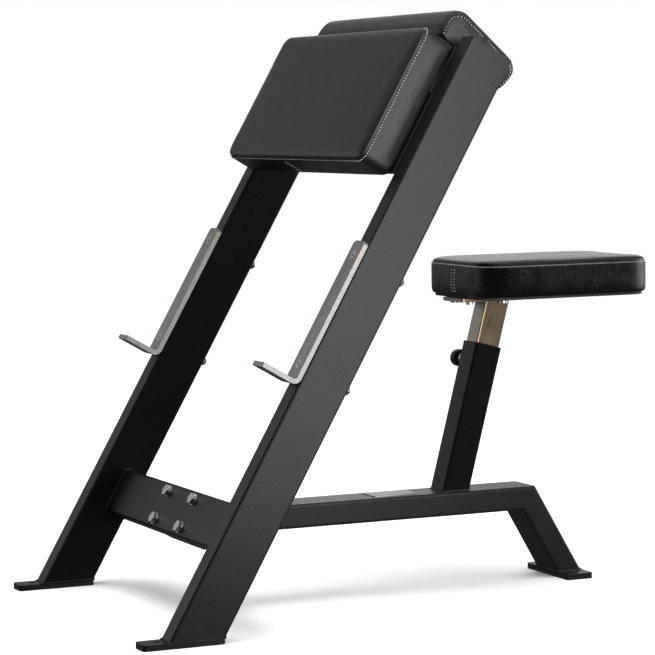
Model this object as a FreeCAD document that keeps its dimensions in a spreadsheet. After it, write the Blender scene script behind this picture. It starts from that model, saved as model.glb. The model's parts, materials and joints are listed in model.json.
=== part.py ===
"""Preacher curl bench: leaning tube frame, arm and chest pads, bar rests and a pin-set sliding seat.

Millimetres and degrees. X runs across the bench and is its mirror direction, -Y is the bar-rest side,
+Y the seat side, +Z up. The origin lies on the floor, half way along the bench.
"""
import FreeCAD, Part
import math
import os
import re

import Sketcher
from FreeCAD import Vector

# Driving dimensions: alias, value, meaning
SIZES = [
    # frame tubes
    ("frame_width", 646, "width over the two uprights"),
    ("tube_depth", 80, "long side of the frame tube"),
    ("tube_width", 40, "short side of the frame tube"),
    ("tube_wall", 3, "wall of the frame tube"),
    ("tube_corner", 5, "outer corner radius of the frame tube"),
    ("upright_lean", 60, "angle of the uprights to the floor"),
    ("upright_length", 1051.5, "front face of an upright, foot to top"),
    ("cap_flange", 2.5, "thickness of the cap on an upright"),
    ("cap_depth", 18, "depth of a tube plug"),
    ("plug_clearance", 0.3, "play of a plug in its tube"),
    # feet
    ("foot_front", 510, "origin to the front end of the front feet"),
    ("foot_reach", 42, "front foot plate in front of its upright"),
    ("foot_thick", 10, "thickness of the foot plates"),
    ("foot_corner", 6, "corner radius of the foot plates"),
    ("floor_hole", 11, "diameter of the floor bolt holes"),
    ("floor_hole_inset", 28, "front end of a foot plate to its floor hole"),
    ("rear_foot_width", 150, "length of the rear foot plate across the bench"),
    ("rear_foot_depth", 50, "depth of the rear foot plate"),
    ("rear_hole_pitch", 114, "distance between the rear floor holes"),
    # bolted joint of the spine
    ("cross_low", 161, "foot to the lower face of the cross tube, along the upright"),
    ("joint_plate_width", 160, "width of the spine's end plate"),
    ("joint_plate_thick", 8, "thickness of the spine's end plate"),
    ("joint_pitch_across", 114, "bolt pitch of the joint across the bench"),
    ("joint_pitch_along", 50, "bolt pitch of the joint along the upright"),
    ("joint_bolt", 10, "thread diameter of the joint bolts"),
    ("joint_head", 17, "width across flats of the joint bolts"),
    ("joint_head_height", 6.4, "head height of the joint bolts"),
    ("joint_nut_height", 8, "height of the joint nuts"),
    ("joint_washer", 20, "diameter of the joint washers"),
    ("washer_thick", 2, "thickness of the washers"),
    ("thread_run_out", 3, "thread standing out of a nut"),
    ("hole_clearance", 0.8, "hole diameter over the bolt diameter"),
    # spine and rear leg
    ("beam_top", 162, "height of the spine's top face"),
    ("beam_back", 315, "origin to the top corner where the spine meets the rear leg"),
    ("leg_lean", 60, "angle of the rear leg to the floor"),
    # bar rests
    ("rest_low", 436.5, "foot to the underside of a bar rest, along the upright"),
    ("rest_length", 249.5, "height of a bar rest along the upright"),
    ("rest_reach", 68, "bar rest in front of the upright"),
    ("rest_thick", 8, "thickness of the bar rests"),
    ("rest_width", 40, "width of the bar rests"),
    ("rest_bend", 5, "inside bend radius of the bar rests"),
    ("rest_corner", 7, "corner radius of the bar rests"),
    ("rest_screw_low", 34, "underside of a bar rest to its lower screw"),
    ("rest_screw_pitch", 191, "distance between the screws of a bar rest"),
    ("rest_screw", 8, "thread diameter of the bar rest screws"),
    ("rest_screw_head", 15, "head diameter of the bar rest screws"),
    ("rest_screw_socket", 5, "width of the socket in the bar rest screws"),
    ("rest_socket_depth", 2.8, "depth of the socket in the bar rest screws"),
    ("rest_nut", 13, "width across flats of the bar rest nuts"),
    ("rest_nut_height", 5.5, "height of the hexagon of the bar rest nuts"),
    ("rest_dome", 3, "height of the dome on the bar rest nuts"),
    ("rest_washer", 17, "diameter of the bar rest washers"),
    # seat support
    ("sleeve_side", 50, "outer side of the square seat sleeve"),
    ("sleeve_wall", 2, "wall of the seat sleeve"),
    ("sleeve_corner", 4, "outer corner radius of the seat sleeve"),
    ("sleeve_length", 261, "front face of the seat sleeve"),
    ("sleeve_lean", 75, "angle of the seat sleeve to the floor"),
    ("sleeve_front", 144, "origin to the foot of the sleeve's front face"),
    ("post_width", 40, "seat post across the bench"),
    ("slide_clearance", 0.5, "play of the seat post in its sleeve"),
    ("post_wall", 2.5, "wall of the seat post"),
    ("post_corner", 4, "outer corner radius of the seat post"),
    ("post_low", 85, "foot of the sleeve to the lower end of the post"),
    ("liner_low", 100, "foot of the sleeve to the guide liners"),
    ("liner_top_gap", 5, "guide liners below the top of the sleeve"),
    # index plunger
    ("index_rise", 231.5, "foot of the sleeve to the plunger"),
    ("index_pitch", 25, "distance between the index holes of the post"),
    ("index_above", 2, "index holes above the plunger"),
    ("index_below", 4, "index holes below the plunger"),
    ("pin_size", 10, "diameter of the plunger pin"),
    ("pin_entry", 6, "pin inside the post's outer face"),
    ("pin_play", 0.6, "hole diameter over the pin diameter"),
    ("pin_collar", 14.5, "diameter of the spring collar on the pin"),
    ("pin_collar_thick", 3, "thickness of the spring collar"),
    ("pin_lead", 1, "chamfer on the tip of the plunger pin"),
    ("housing_size", 22, "diameter of the plunger housing"),
    ("housing_length", 32, "length of the plunger housing"),
    ("housing_bore", 16, "diameter of the spring chamber"),
    ("housing_end", 3, "end walls of the plunger housing"),
    ("housing_chamfer", 2, "chamfer on the outer end of the plunger housing"),
    ("spring_wire", 1.5, "wire diameter of the plunger spring"),
    ("spring_size", 13, "mean diameter of the plunger spring"),
    ("spring_turns", 3, "turns of the plunger spring"),
    ("seat_gap", 0.3, "clearance of small seated pieces"),
    ("knob_size", 30, "diameter of the pull knob"),
    ("knob_length", 24.5, "length of the pull knob"),
    ("knob_neck", 18, "diameter of the knob's neck"),
    ("knob_neck_length", 3, "length of the knob's neck"),
    ("knob_flare", 3.5, "run of the knob from neck to rim"),
    ("knob_gap", 1.5, "knob to plunger housing"),
    ("knob_edge", 4, "rounding of the knob"),
    ("knob_socket", 16, "depth of the pin in the knob"),
    # seat
    ("seat_plate_low", 483, "height of the underside of the seat plate"),
    ("seat_plate_front", 178, "origin to the front of the seat plate"),
    ("seat_plate_width", 75, "width of the seat plate"),
    ("seat_plate_length", 104, "length of the seat plate"),
    ("seat_plate_thick", 6, "thickness of the seat plate"),
    ("seat_front", 179.5, "origin to the front of the seat pad"),
    ("seat_length", 330.5, "length of the seat pad"),
    ("seat_width", 240, "width of the seat pad"),
    ("seat_corner", 48, "corner radius of the seat pad"),
    ("seat_board", 9, "thickness of the seat board"),
    ("seat_thick", 59, "thickness of the seat cushion at its crown"),
    ("seat_screw_across", 58, "distance between the seat screws across"),
    ("seat_screw_along", 64, "distance between the seat screws along"),
    ("seat_screw_front", 20, "front of the seat plate to its first screws"),
    # pads on the frame
    ("board_inset", 8, "boards inside the outline of their pads"),
    ("pad_gap", 2, "pad carriers in front of the uprights"),
    ("arm_side_gap", 2, "end of the arm pad to the side of an upright"),
    ("arm_length", 242, "length of the arm pad"),
    ("arm_drop", 9.5, "top of the uprights to the top of the arm pad"),
    ("arm_corner", 20, "corner radius of the arm pad"),
    ("arm_board", 12, "thickness of the arm board"),
    ("arm_thick", 63, "thickness of the arm pad at its crown, board included"),
    ("chest_slope", 43, "slope of the chest pad to the floor"),
    ("chest_side_gap", 27, "end of the chest pad to the side of an upright"),
    ("chest_length", 135, "length of the chest pad"),
    ("chest_overhang", 7.5, "chest pad in front of the arm board's front face"),
    ("chest_clear", 3, "chest pad above the arm pad"),
    ("chest_corner", 18, "corner radius of the chest pad"),
    ("chest_board", 10, "thickness of the chest board"),
    ("chest_thick", 63, "thickness of the chest pad at its crown, board included"),
    ("arm_edge", 6, "rounded upper edge of the arm cushion"),
    ("chest_edge", 6, "rounded upper edge of the chest cushion"),
    ("seat_edge", 6, "rounded upper edge of the seat cushion"),
    ("cushion_crown", 4, "rise of the cushions over their edges"),
    ("crown_corner", 8, "least corner radius on the crown of the cushions"),
    ("cushion_tuck", 1.5, "sides of the cushions drawn in at the back"),
    ("cushion_belly", 1, "sides of the cushions drawn in at the seam"),
    # pad carriers and their screws
    ("carrier_drop", 85, "top of the arm pad to the lower carrier"),
    ("carrier_height", 148, "height of the lower carrier along the uprights"),
    ("carrier_depth", 30, "depth of the lower carrier"),
    ("carrier_wall", 5, "wall of the lower carrier"),
    ("carrier_bend", 4, "inside bend radius of the lower carrier"),
    ("ledge_thick", 6, "thickness of the upper carrier"),
    ("ledge_drop", 32, "upper carrier behind the arm pad"),
    ("ledge_length", 90, "upper carrier under the chest pad"),
    ("ledge_bend", 4, "inside bend radius of the upper carrier"),
    ("pad_screw", 8, "thread diameter of the pad screws"),
    ("pad_screw_head", 14, "head diameter of the pad screws"),
    ("pad_screw_head_height", 4.4, "head height of the pad screws"),
    ("pad_screw_bite", 6, "pad screws inside the boards"),
    ("pad_screw_pitch", 300, "distance between the pad screws across"),
    ("chest_screw_along", 50, "distance between the chest screws along"),
    ("arm_screw_rise", 11, "lower end of the upper carrier to its screws"),
]

doc = FreeCAD.newDocument("preacher_bench")
sheet = doc.addObject("Spreadsheet::Sheet", "sizes")
for row, (alias, number, meaning) in enumerate(SIZES, start=1):
    sheet.set(f"A{row}", meaning)
    sheet.set(f"B{row}", str(number))
    sheet.setAlias(f"B{row}", alias)
doc.recompute()
ALIASES = {alias for alias, number, meaning in SIZES}
HEX_ROUND = 2 / math.sqrt(3)


# Expressions and document helpers

def expr(text):
    """Text with every size name turned into a reference to its cell."""
    return re.sub(r"[a-z]\w*", lambda m: f"sizes.{m.group()}" if m.group() in ALIASES else m.group(), text)


def value(text):
    """Present value of an expression."""
    return float(sheet.evalExpression(expr(text)))


def bind(obj, **properties):
    """Binds properties to expressions; a double underscore stands for a dot."""
    for name, text in properties.items():
        obj.setExpression(name.replace("__", "."), expr(text))


def place(x="0", y="0", z="0", axis="1; 0; 0", angle="0"):
    """Placement expression: a shift and a turn about an axis."""
    return f"placement(vector({x}; {y}; {z}); rotation(vector({axis}); {angle}))"


def origin_plane(body, role):
    return next(f for f in body.Origin.OriginFeatures if f.Role == role)


def new_body(label, frame):
    body = doc.addObject("PartDesign::Body", label)
    body.setExpression("Placement", expr(frame))
    return body


def new_sketch(body, plane, offset="0"):
    """Sketch on an origin plane of its body, shifted along the plane's normal."""
    sketch = body.newObject("Sketcher::SketchObject", f"{body.Name}_sketch")
    sketch.AttachmentSupport = [(origin_plane(body, plane), "")]
    sketch.MapMode = "FlatFace"
    bind(sketch, AttachmentOffset__Base__z=offset)
    return sketch


def dimension(sketch, kind, name, text, *where):
    index = sketch.addConstraint(Sketcher.Constraint(kind, *where, value(text)))
    sketch.renameConstraint(index, name)
    sketch.setExpression(f"Constraints.{name}", expr(text))


def fix_point(sketch, geometry, point, x, y):
    dimension(sketch, "DistanceX", f"x{geometry}", x, -1, 1, geometry, point)
    dimension(sketch, "DistanceY", f"y{geometry}", y, -1, 1, geometry, point)


def arc_between(start, end, radius, left):
    """Arc of under a half circle that leaves start and turns left or right to end."""
    chord = end - start
    rise = math.sqrt(max(radius ** 2 - chord.Length ** 2 / 4, 0))
    side = Vector(-chord.y, chord.x, 0).normalize() * (rise if left else -rise)
    centre = (start + end) / 2 + side
    first, last = (start, end) if left else (end, start)
    angles = [math.atan2(p.y - centre.y, p.x - centre.x) for p in (first, last)]
    return Part.ArcOfCircle(Part.Circle(centre, Vector(0, 0, 1), radius), angles[0], angles[1])


def outline(sketch, corners):
    """Closed outline through corners (x, y) or (x, y, turn, radius).

    With a turn, "left" or "right", the edge that leaves the corner is an arc of that radius.
    """
    first = sketch.GeometryCount
    points = [Vector(value(c[0]), value(c[1]), 0) for c in corners]
    ends = []
    for k, corner in enumerate(corners):
        start, end = points[k], points[(k + 1) % len(points)]
        if len(corner) == 2:
            sketch.addGeometry(Part.LineSegment(start, end))
            ends.append((1, 2))
        else:
            left = corner[2] == "left"
            sketch.addGeometry(arc_between(start, end, value(corner[3]), left))
            ends.append((1, 2) if left else (2, 1))
    for k, corner in enumerate(corners):
        here, after = first + k, first + (k + 1) % len(corners)
        sketch.addConstraint(Sketcher.Constraint(
            "Coincident", here, ends[k][1], after, ends[(k + 1) % len(corners)][0]))
        fix_point(sketch, here, ends[k][0], corner[0], corner[1])
        if len(corner) > 2:
            dimension(sketch, "Radius", f"r{here}", corner[3], here)


def rounded_rectangle(sketch, x0, y0, x1, y1, radius):
    """Rectangle between two corners with rounded corners; every argument is an expression."""
    lo_x, hi_x = f"({x0}) + ({radius})", f"({x1}) - ({radius})"
    lo_y, hi_y = f"({y0}) + ({radius})", f"({y1}) - ({radius})"
    outline(sketch, [
        (lo_x, y0), (hi_x, y0, "left", radius), (x1, lo_y), (x1, hi_y, "left", radius),
        (hi_x, y1), (lo_x, y1, "left", radius), (x0, hi_y), (x0, lo_y, "left", radius)])


def circle(sketch, x, y, diameter):
    index = sketch.addGeometry(Part.Circle(Vector(value(x), value(y), 0), Vector(0, 0, 1), value(diameter) / 2))
    fix_point(sketch, index, 3, x, y)
    dimension(sketch, "Diameter", f"d{index}", diameter, index)


def pad(body, sketch, length, symmetric=False, reverse=False):
    feature = body.newObject("PartDesign::Pad", f"{body.Name}_pad")
    feature.Profile = sketch
    bind(feature, Length=length)
    feature.SideType = "Symmetric" if symmetric else "One side"
    feature.Reversed = reverse
    body.Tip = feature
    return feature


def pocket(body, sketch, depth, reverse=False):
    """Cut against the sketch's normal, or along it when reversed."""
    feature = body.newObject("PartDesign::Pocket", f"{sketch.Name}_pocket")
    feature.Profile = sketch
    bind(feature, Length=depth)
    feature.Reversed = reverse
    body.Tip = feature


def cut_through(body, sketch):
    """Pocket through the whole body, both ways from the sketch."""
    feature = body.newObject("PartDesign::Pocket", f"{body.Name}_cut")
    feature.Profile = sketch
    feature.Type = "ThroughAll"
    feature.SideType = "Symmetric"
    body.Tip = feature
    return feature


def cut_side(body, corners):
    """Cuts a body across its whole width by an outline in its YZ plane."""
    sketch = new_sketch(body, "YZ_Plane")
    outline(sketch, corners)
    return cut_through(body, sketch)


def revolve_about_x(body, sketch):
    feature = body.newObject("PartDesign::Revolution", f"{body.Name}_turn")
    feature.Profile = sketch
    feature.ReferenceAxis = (sketch, ["H_Axis"])
    feature.Angle = 360
    body.Tip = feature
    return feature


def tube_section(body, start, x0, x1, y0, y1, wall, corner):
    """Hollow section with rounded corners in the body's XY plane."""
    sketch = new_sketch(body, "XY_Plane", start)
    rounded_rectangle(sketch, x0, y0, x1, y1, corner)
    rounded_rectangle(sketch, f"{x0} + {wall}", f"{y0} + {wall}", f"{x1} - {wall}", f"{y1} - {wall}",
                      f"{corner} - {wall}")
    return sketch


def cylinder(name, diameter, length, frame):
    item = doc.addObject("Part::Cylinder", name)
    bind(item, Radius=f"({diameter}) / 2", Height=length, Placement=frame)
    return item


def hexagon(name, flats, height, frame):
    item = doc.addObject("Part::Prism", name)
    item.Polygon = 6
    bind(item, Circumradius=f"({flats}) / 2 * {HEX_ROUND:.6f}", Height=height, Placement=frame)
    return item


def cone(name, base, top, height, frame):
    item = doc.addObject("Part::Cone", name)
    bind(item, Radius1=f"({base}) / 2", Radius2=f"({top}) / 2", Height=height, Placement=frame)
    return item


def fused(name, *items):
    joined = doc.addObject("Part::MultiFuse", name)
    joined.Shapes = list(items)
    return joined


def without(name, base, tool):
    rest = doc.addObject("Part::Cut", name)
    rest.Base, rest.Tool = base, tool
    return rest


def group(label, items):
    """Identical loose pieces under one name."""
    compound = doc.addObject("Part::Compound", label)
    compound.Links = items
    return compound


PARTS = []


def part(obj, label):
    obj.Label = label
    PARTS.append(obj)
    return obj


# Frames: each leans in the YZ plane, with X across, Y into the material and Z along the tube
UPRIGHT_FOOT = "(foot_reach - foot_front)"
LEAN = place(y=UPRIGHT_FOOT, z="foot_thick", angle="upright_lean - 90")
SPINE_FRONT = (f"({UPRIGHT_FOOT} + (beam_top - foot_thick) / tan(upright_lean)"
               " + (tube_depth + joint_plate_thick) / sin(upright_lean))")
SPINE = place(y=SPINE_FRONT, z="beam_top", angle="-90")
LEG = place(y="beam_back", z="beam_top", angle="-leg_lean - 90")
SLEEVE = place(y="sleeve_front", z="beam_top", angle="sleeve_lean - 90")
ARM_TOP = "(upright_length - arm_drop)"
ARM_BACK = "(-pad_gap)"
ARM_FACE = "(-pad_gap - arm_board)"
CHEST = f"{LEAN} * {place(y=ARM_FACE, z=f'{ARM_TOP} + chest_clear', angle='90 - upright_lean - chest_slope')}"
INNER_X = "(frame_width / 2 - tube_width)"
OUTER_X = "(frame_width / 2)"
UPRIGHT_X = "(frame_width / 2 - tube_width / 2)"
SIDES = (("left", "-"), ("right", "+"))


def along_y(x, y, z):
    """Frame in a leaning body whose Z axis points along the body's +Y."""
    return place(x, y, z, angle="-90")


def across_tube(side):
    """Limits of an upright across the bench, lower one first."""
    if side == "+":
        return INNER_X, OUTER_X
    return f"-{OUTER_X}", f"-{INNER_X}"


# Uprights, their caps and feet

def make_upright(name, side):
    body = new_body(f"upright_{name}", LEAN)
    x0, x1 = across_tube(side)
    section = tube_section(body, "0", x0, x1, "0", "tube_depth", "tube_wall", "tube_corner")
    pad(body, section, "upright_length")
    cut_side(body, [("0", "0"), ("tube_depth", "0"), ("tube_depth", "tube_depth / tan(upright_lean)")])
    holes = new_sketch(body, "XZ_Plane")
    for rise in REST_SCREWS:
        circle(holes, f"{side}{UPRIGHT_X}", rise, "rest_screw + hole_clearance")
    cut_through(body, holes)
    part(body, f"upright_{name}")


def make_upright_cap(name, side):
    body = new_body(f"upright_cap_{name}", LEAN)
    x0, x1 = across_tube(side)
    flange = new_sketch(body, "XY_Plane", "upright_length")
    rounded_rectangle(flange, x0, "0", x1, "tube_depth", "tube_corner")
    pad(body, flange, "cap_flange")
    inside = "tube_wall + plug_clearance"
    plug = tube_section(body, "upright_length", f"{x0} + {inside}", f"{x1} - ({inside})", inside,
                        f"tube_depth - ({inside})", "tube_wall", "tube_corner")
    pad(body, plug, "cap_depth", reverse=True)
    part(body, f"upright_cap_{name}")


def make_front_foot(name, side):
    body = new_body(f"foot_plate_{name}", place(y="-foot_front"))
    x0, x1 = across_tube(side)
    end = "foot_reach + tube_depth / sin(upright_lean)"
    sketch = new_sketch(body, "XY_Plane")
    rounded_rectangle(sketch, x0, "0", x1, end, "foot_corner")
    circle(sketch, f"{side}{UPRIGHT_X}", "floor_hole_inset", "floor_hole")
    pad(body, sketch, "foot_thick")
    part(body, f"foot_plate_{name}")


# Cross tube and the bolted end plate of the spine

CROSS_HIGH = "(cross_low + tube_depth)"
CROSS_FRONT = "(tube_depth - tube_width)"
CROSS_MID = "(cross_low + tube_depth / 2)"
JOINT_BOLTS = [(f"{sx}joint_pitch_across / 2", f"{CROSS_MID} {sz} joint_pitch_along / 2")
               for sx in "-+" for sz in "-+"]


def joint_holes(sketch):
    for x, z in JOINT_BOLTS:
        circle(sketch, x, z, "joint_bolt + hole_clearance")


def make_cross_tube():
    body = new_body("cross_tube", LEAN)
    section = new_sketch(body, "YZ_Plane")
    rounded_rectangle(section, CROSS_FRONT, "cross_low", "tube_depth", CROSS_HIGH, "tube_corner")
    rounded_rectangle(section, f"{CROSS_FRONT} + tube_wall", "cross_low + tube_wall", "tube_depth - tube_wall",
                      f"{CROSS_HIGH} - tube_wall", "tube_corner - tube_wall")
    pad(body, section, f"2 * {INNER_X}", symmetric=True)
    holes = new_sketch(body, "XZ_Plane")
    joint_holes(holes)
    cut_through(body, holes)
    part(body, "cross_tube")


def make_joint_plate():
    body = new_body("spine_end_plate", LEAN)
    sketch = new_sketch(body, "XZ_Plane", "-tube_depth")
    rounded_rectangle(sketch, "-joint_plate_width / 2", "cross_low", "joint_plate_width / 2", CROSS_HIGH,
                      "foot_corner")
    joint_holes(sketch)
    pad(body, sketch, "joint_plate_thick", reverse=True)
    part(body, "spine_end_plate")


def make_joint_fasteners():
    bolts, washers, nuts = [], [], []
    front = f"({CROSS_FRONT} - washer_thick)"
    back = "(tube_depth + joint_plate_thick)"
    shank = f"{back} + joint_nut_height + thread_run_out - {front}"
    for k, (x, z) in enumerate(JOINT_BOLTS):
        head_frame = f"{LEAN} * {along_y(x, f'{front} - joint_head_height', z)}"
        shank_frame = f"{LEAN} * {along_y(x, front, z)}"
        head = hexagon(f"joint_head_{k}", "joint_head", "joint_head_height", head_frame)
        bolts.append(fused(f"joint_bolt_{k}", head, cylinder(f"joint_shank_{k}", "joint_bolt", shank, shank_frame)))
        hole = cylinder(f"joint_washer_hole_{k}", "joint_bolt + hole_clearance", "washer_thick", shank_frame)
        disc = cylinder(f"joint_washer_disc_{k}", "joint_washer", "washer_thick", shank_frame)
        washers.append(without(f"joint_washer_{k}", disc, hole))
        nut_frame = f"{LEAN} * {along_y(x, back, z)}"
        nut_hole = cylinder(f"joint_nut_hole_{k}", "joint_bolt + 2 * seat_gap", "joint_nut_height", nut_frame)
        nut = hexagon(f"joint_nut_hex_{k}", "joint_head", "joint_nut_height", nut_frame)
        nuts.append(without(f"joint_nut_{k}", nut, nut_hole))
    part(group("joint_bolts", bolts), "joint_bolts")
    part(group("joint_washers", washers), "joint_washers")
    part(group("joint_nuts", nuts), "joint_nuts")


# Spine beam, rear leg and rear foot

BEAM_RUN = f"(beam_back - {SPINE_FRONT})"
BEAM_SLANT = "(tube_width / tan(upright_lean))"
MITRE = "(tube_width * tan(leg_lean / 2))"
LEG_RUN = "((beam_top - foot_thick) / sin(leg_lean))"
LEG_SLANT = "(tube_width / tan(leg_lean))"


def make_spine_beam():
    body = new_body("spine_beam", SPINE)
    section = tube_section(body, f"-{BEAM_SLANT}", "-tube_depth / 2", "tube_depth / 2", "0", "tube_width",
                           "tube_wall", "tube_corner")
    pad(body, section, f"{BEAM_RUN} + {BEAM_SLANT}")
    cut_side(body, [("0", "0"), ("0", f"-{BEAM_SLANT}"), ("tube_width", f"-{BEAM_SLANT}")])
    cut_side(body, [("0", BEAM_RUN), ("tube_width", f"{BEAM_RUN} - {MITRE}"), ("tube_width", BEAM_RUN)])
    part(body, "spine_beam")


def make_rear_leg():
    body = new_body("rear_leg", LEG)
    section = tube_section(body, "0", "-tube_depth / 2", "tube_depth / 2", "0", "tube_width", "tube_wall",
                           "tube_corner")
    pad(body, section, LEG_RUN)
    cut_side(body, [("0", "0"), ("tube_width", "0"), ("tube_width", MITRE)])
    cut_side(body, [("0", LEG_RUN), ("tube_width", f"{LEG_RUN} - {LEG_SLANT}"), ("tube_width", LEG_RUN)])
    part(body, "rear_leg")


def make_rear_foot():
    front = "beam_back + (beam_top - foot_thick) / tan(leg_lean) - tube_width / sin(leg_lean)"
    body = new_body("foot_plate_rear", place(y=front))
    sketch = new_sketch(body, "XY_Plane")
    rounded_rectangle(sketch, "-rear_foot_width / 2", "0", "rear_foot_width / 2", "rear_foot_depth", "foot_corner")
    for sx in "-+":
        circle(sketch, f"{sx}rear_hole_pitch / 2", "rear_foot_depth / 2", "floor_hole")
    pad(body, sketch, "foot_thick")
    part(body, "foot_plate_rear")


# Bar rests with countersunk screws and domed nuts

REST_SCREWS = ("(rest_low + rest_screw_low)", "(rest_low + rest_screw_low + rest_screw_pitch)")
REST_HEAD_DEPTH = "((rest_screw_head - rest_screw) / 2)"


def make_bar_rest(name, side):
    body = new_body(f"bar_rest_{name}_blank", f"{LEAN} * {place(x=f'{side}{UPRIGHT_X}')}")
    bend = "(rest_thick + rest_bend)"
    inner = "(rest_low + rest_thick)"
    high = "(rest_low + rest_length)"
    profile = new_sketch(body, "YZ_Plane")
    outline(profile, [
        ("-rest_reach", "rest_low"), (f"-{bend}", "rest_low", "left", bend), ("0", f"rest_low + {bend}"),
        ("0", high), ("-rest_thick", high),
        ("-rest_thick", f"rest_low + {bend}", "right", "rest_bend"), (f"-{bend}", inner), ("-rest_reach", inner)])
    pad(body, profile, "rest_width", symmetric=True)
    trim = new_sketch(body, "XZ_Plane")
    for sx, turn in (("-", "right"), ("+", "left")):
        edge = f"{sx}rest_width / 2"
        outline(trim, [(edge, high), (edge, f"{high} - rest_corner", turn, "rest_corner"),
                       (f"{edge} - ({sx}rest_corner)", high)])
    cut_through(body, trim)
    holes = new_sketch(body, "XZ_Plane")
    for rise in REST_SCREWS:
        circle(holes, "0", rise, "rest_screw + hole_clearance")
    cut_through(body, holes)
    sinks = [cone(f"rest_sink_{name}_{k}", "rest_screw_head + 2 * seat_gap", "rest_screw + 2 * seat_gap",
                  REST_HEAD_DEPTH, f"{LEAN} * {along_y(f'{side}{UPRIGHT_X}', '-rest_thick', rise)}")
             for k, rise in enumerate(REST_SCREWS)]
    part(without(f"bar_rest_{name}_sunk", body, fused(f"rest_sinks_{name}", *sinks)), f"bar_rest_{name}")


def make_rest_fasteners():
    screws, washers, nuts = [], [], []
    spots = [(f"{side}{UPRIGHT_X}", rise) for _, side in SIDES for rise in REST_SCREWS]
    back = "(tube_depth + washer_thick)"
    for k, (x, rise) in enumerate(spots):
        head_frame = f"{LEAN} * {along_y(x, '-rest_thick', rise)}"
        head = cone(f"rest_head_{k}", "rest_screw_head", "rest_screw", REST_HEAD_DEPTH, head_frame)
        shank = cylinder(f"rest_shank_{k}", "rest_screw", f"rest_thick + {back} + rest_nut_height", head_frame)
        socket = hexagon(f"rest_socket_{k}", "rest_screw_socket", "rest_socket_depth", head_frame)
        screws.append(without(f"rest_screw_{k}", fused(f"rest_screw_blank_{k}", head, shank), socket))
        washer_frame = f"{LEAN} * {along_y(x, 'tube_depth', rise)}"
        disc = cylinder(f"rest_disc_{k}", "rest_washer", "washer_thick", washer_frame)
        hole = cylinder(f"rest_disc_hole_{k}", "rest_screw + hole_clearance", "washer_thick", washer_frame)
        washers.append(without(f"rest_washer_{k}", disc, hole))
        nut_frame = f"{LEAN} * {along_y(x, back, rise)}"
        top_frame = f"{LEAN} * {along_y(x, f'{back} + rest_nut_height', rise)}"
        hexa = hexagon(f"rest_nut_hex_{k}", "rest_nut", "rest_nut_height", nut_frame)
        dome = cone(f"rest_nut_dome_{k}", "rest_nut", "rest_nut / 2", "rest_dome", top_frame)
        bore = cylinder(f"rest_nut_bore_{k}", "rest_screw + 2 * seat_gap", "rest_nut_height + seat_gap", nut_frame)
        nuts.append(without(f"rest_nut_{k}", fused(f"rest_nut_blank_{k}", hexa, dome), bore))
    part(group("rest_screws", screws), "rest_screws")
    part(group("rest_washers", washers), "rest_washers")
    part(group("rest_nuts", nuts), "rest_nuts")


# Seat sleeve, its guide liners, the post and its plug

POST_DEPTH = "(sleeve_side - 2 * sleeve_wall - 2 * slide_clearance)"
POST_FRONT = "(sleeve_wall + slide_clearance)"
POST_BACK = f"({POST_FRONT} + {POST_DEPTH})"
SLEEVE_MID = "(sleeve_side / 2)"
SLEEVE_INSIDE = "(sleeve_side / 2 - sleeve_wall)"
PIN_HOLE = "(pin_size + pin_play)"


def cut_pin_holes(body, rises, depth):
    """Round holes through the wall of a body on its -X side, cut outward from the mid plane."""
    sketch = new_sketch(body, "YZ_Plane")
    for rise in rises:
        circle(sketch, SLEEVE_MID, rise, PIN_HOLE)
    pocket(body, sketch, depth)


def make_sleeve():
    body = new_body("seat_sleeve", SLEEVE)
    section = tube_section(body, "0", f"-{SLEEVE_MID}", SLEEVE_MID, "0", "sleeve_side", "sleeve_wall",
                           "sleeve_corner")
    pad(body, section, "sleeve_length")
    cut_side(body, [("0", "0"), ("sleeve_side", "0"), ("sleeve_side", "sleeve_side / tan(sleeve_lean)")])
    cut_pin_holes(body, ["index_rise"], "sleeve_side")
    part(body, "seat_sleeve")


def make_guide_liner(name, side):
    body = new_body(f"guide_liner_{name}", SLEEVE)
    wall = f"{side}{SLEEVE_INSIDE}"
    thickness = f"({SLEEVE_INSIDE} - post_width / 2 - slide_clearance)"
    sketch = new_sketch(body, "YZ_Plane", wall)
    outline(sketch, [
        ("sleeve_corner + sleeve_wall", "liner_low"), ("sleeve_side - sleeve_corner - sleeve_wall", "liner_low"),
        ("sleeve_side - sleeve_corner - sleeve_wall", "sleeve_length - liner_top_gap"),
        ("sleeve_corner + sleeve_wall", "sleeve_length - liner_top_gap")])
    if side == "-":
        circle(sketch, SLEEVE_MID, "index_rise", f"{PIN_HOLE} + hole_clearance")
    pad(body, sketch, thickness, reverse=side == "+")
    part(body, f"guide_liner_{name}")


def post_end(depth):
    """Height along the post where it meets the seat plate, at a depth behind the sleeve's front."""
    return f"((seat_plate_low - beam_top + ({depth}) * cos(sleeve_lean)) / sin(sleeve_lean))"


def make_post():
    body = new_body("seat_post", SLEEVE)
    section = tube_section(body, "post_low", "-post_width / 2", "post_width / 2", POST_FRONT, POST_BACK,
                           "post_wall", "post_corner")
    pad(body, section, f"{post_end(POST_BACK)} - post_low")
    cut_side(body, [(POST_FRONT, post_end(POST_FRONT)), (POST_BACK, post_end(POST_BACK)),
                    (POST_FRONT, post_end(POST_BACK))])
    steps = range(-int(value("index_below")), int(value("index_above")) + 1)
    cut_pin_holes(body, [f"index_rise + {step} * index_pitch" for step in steps], "post_width")
    part(body, "seat_post")


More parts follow.
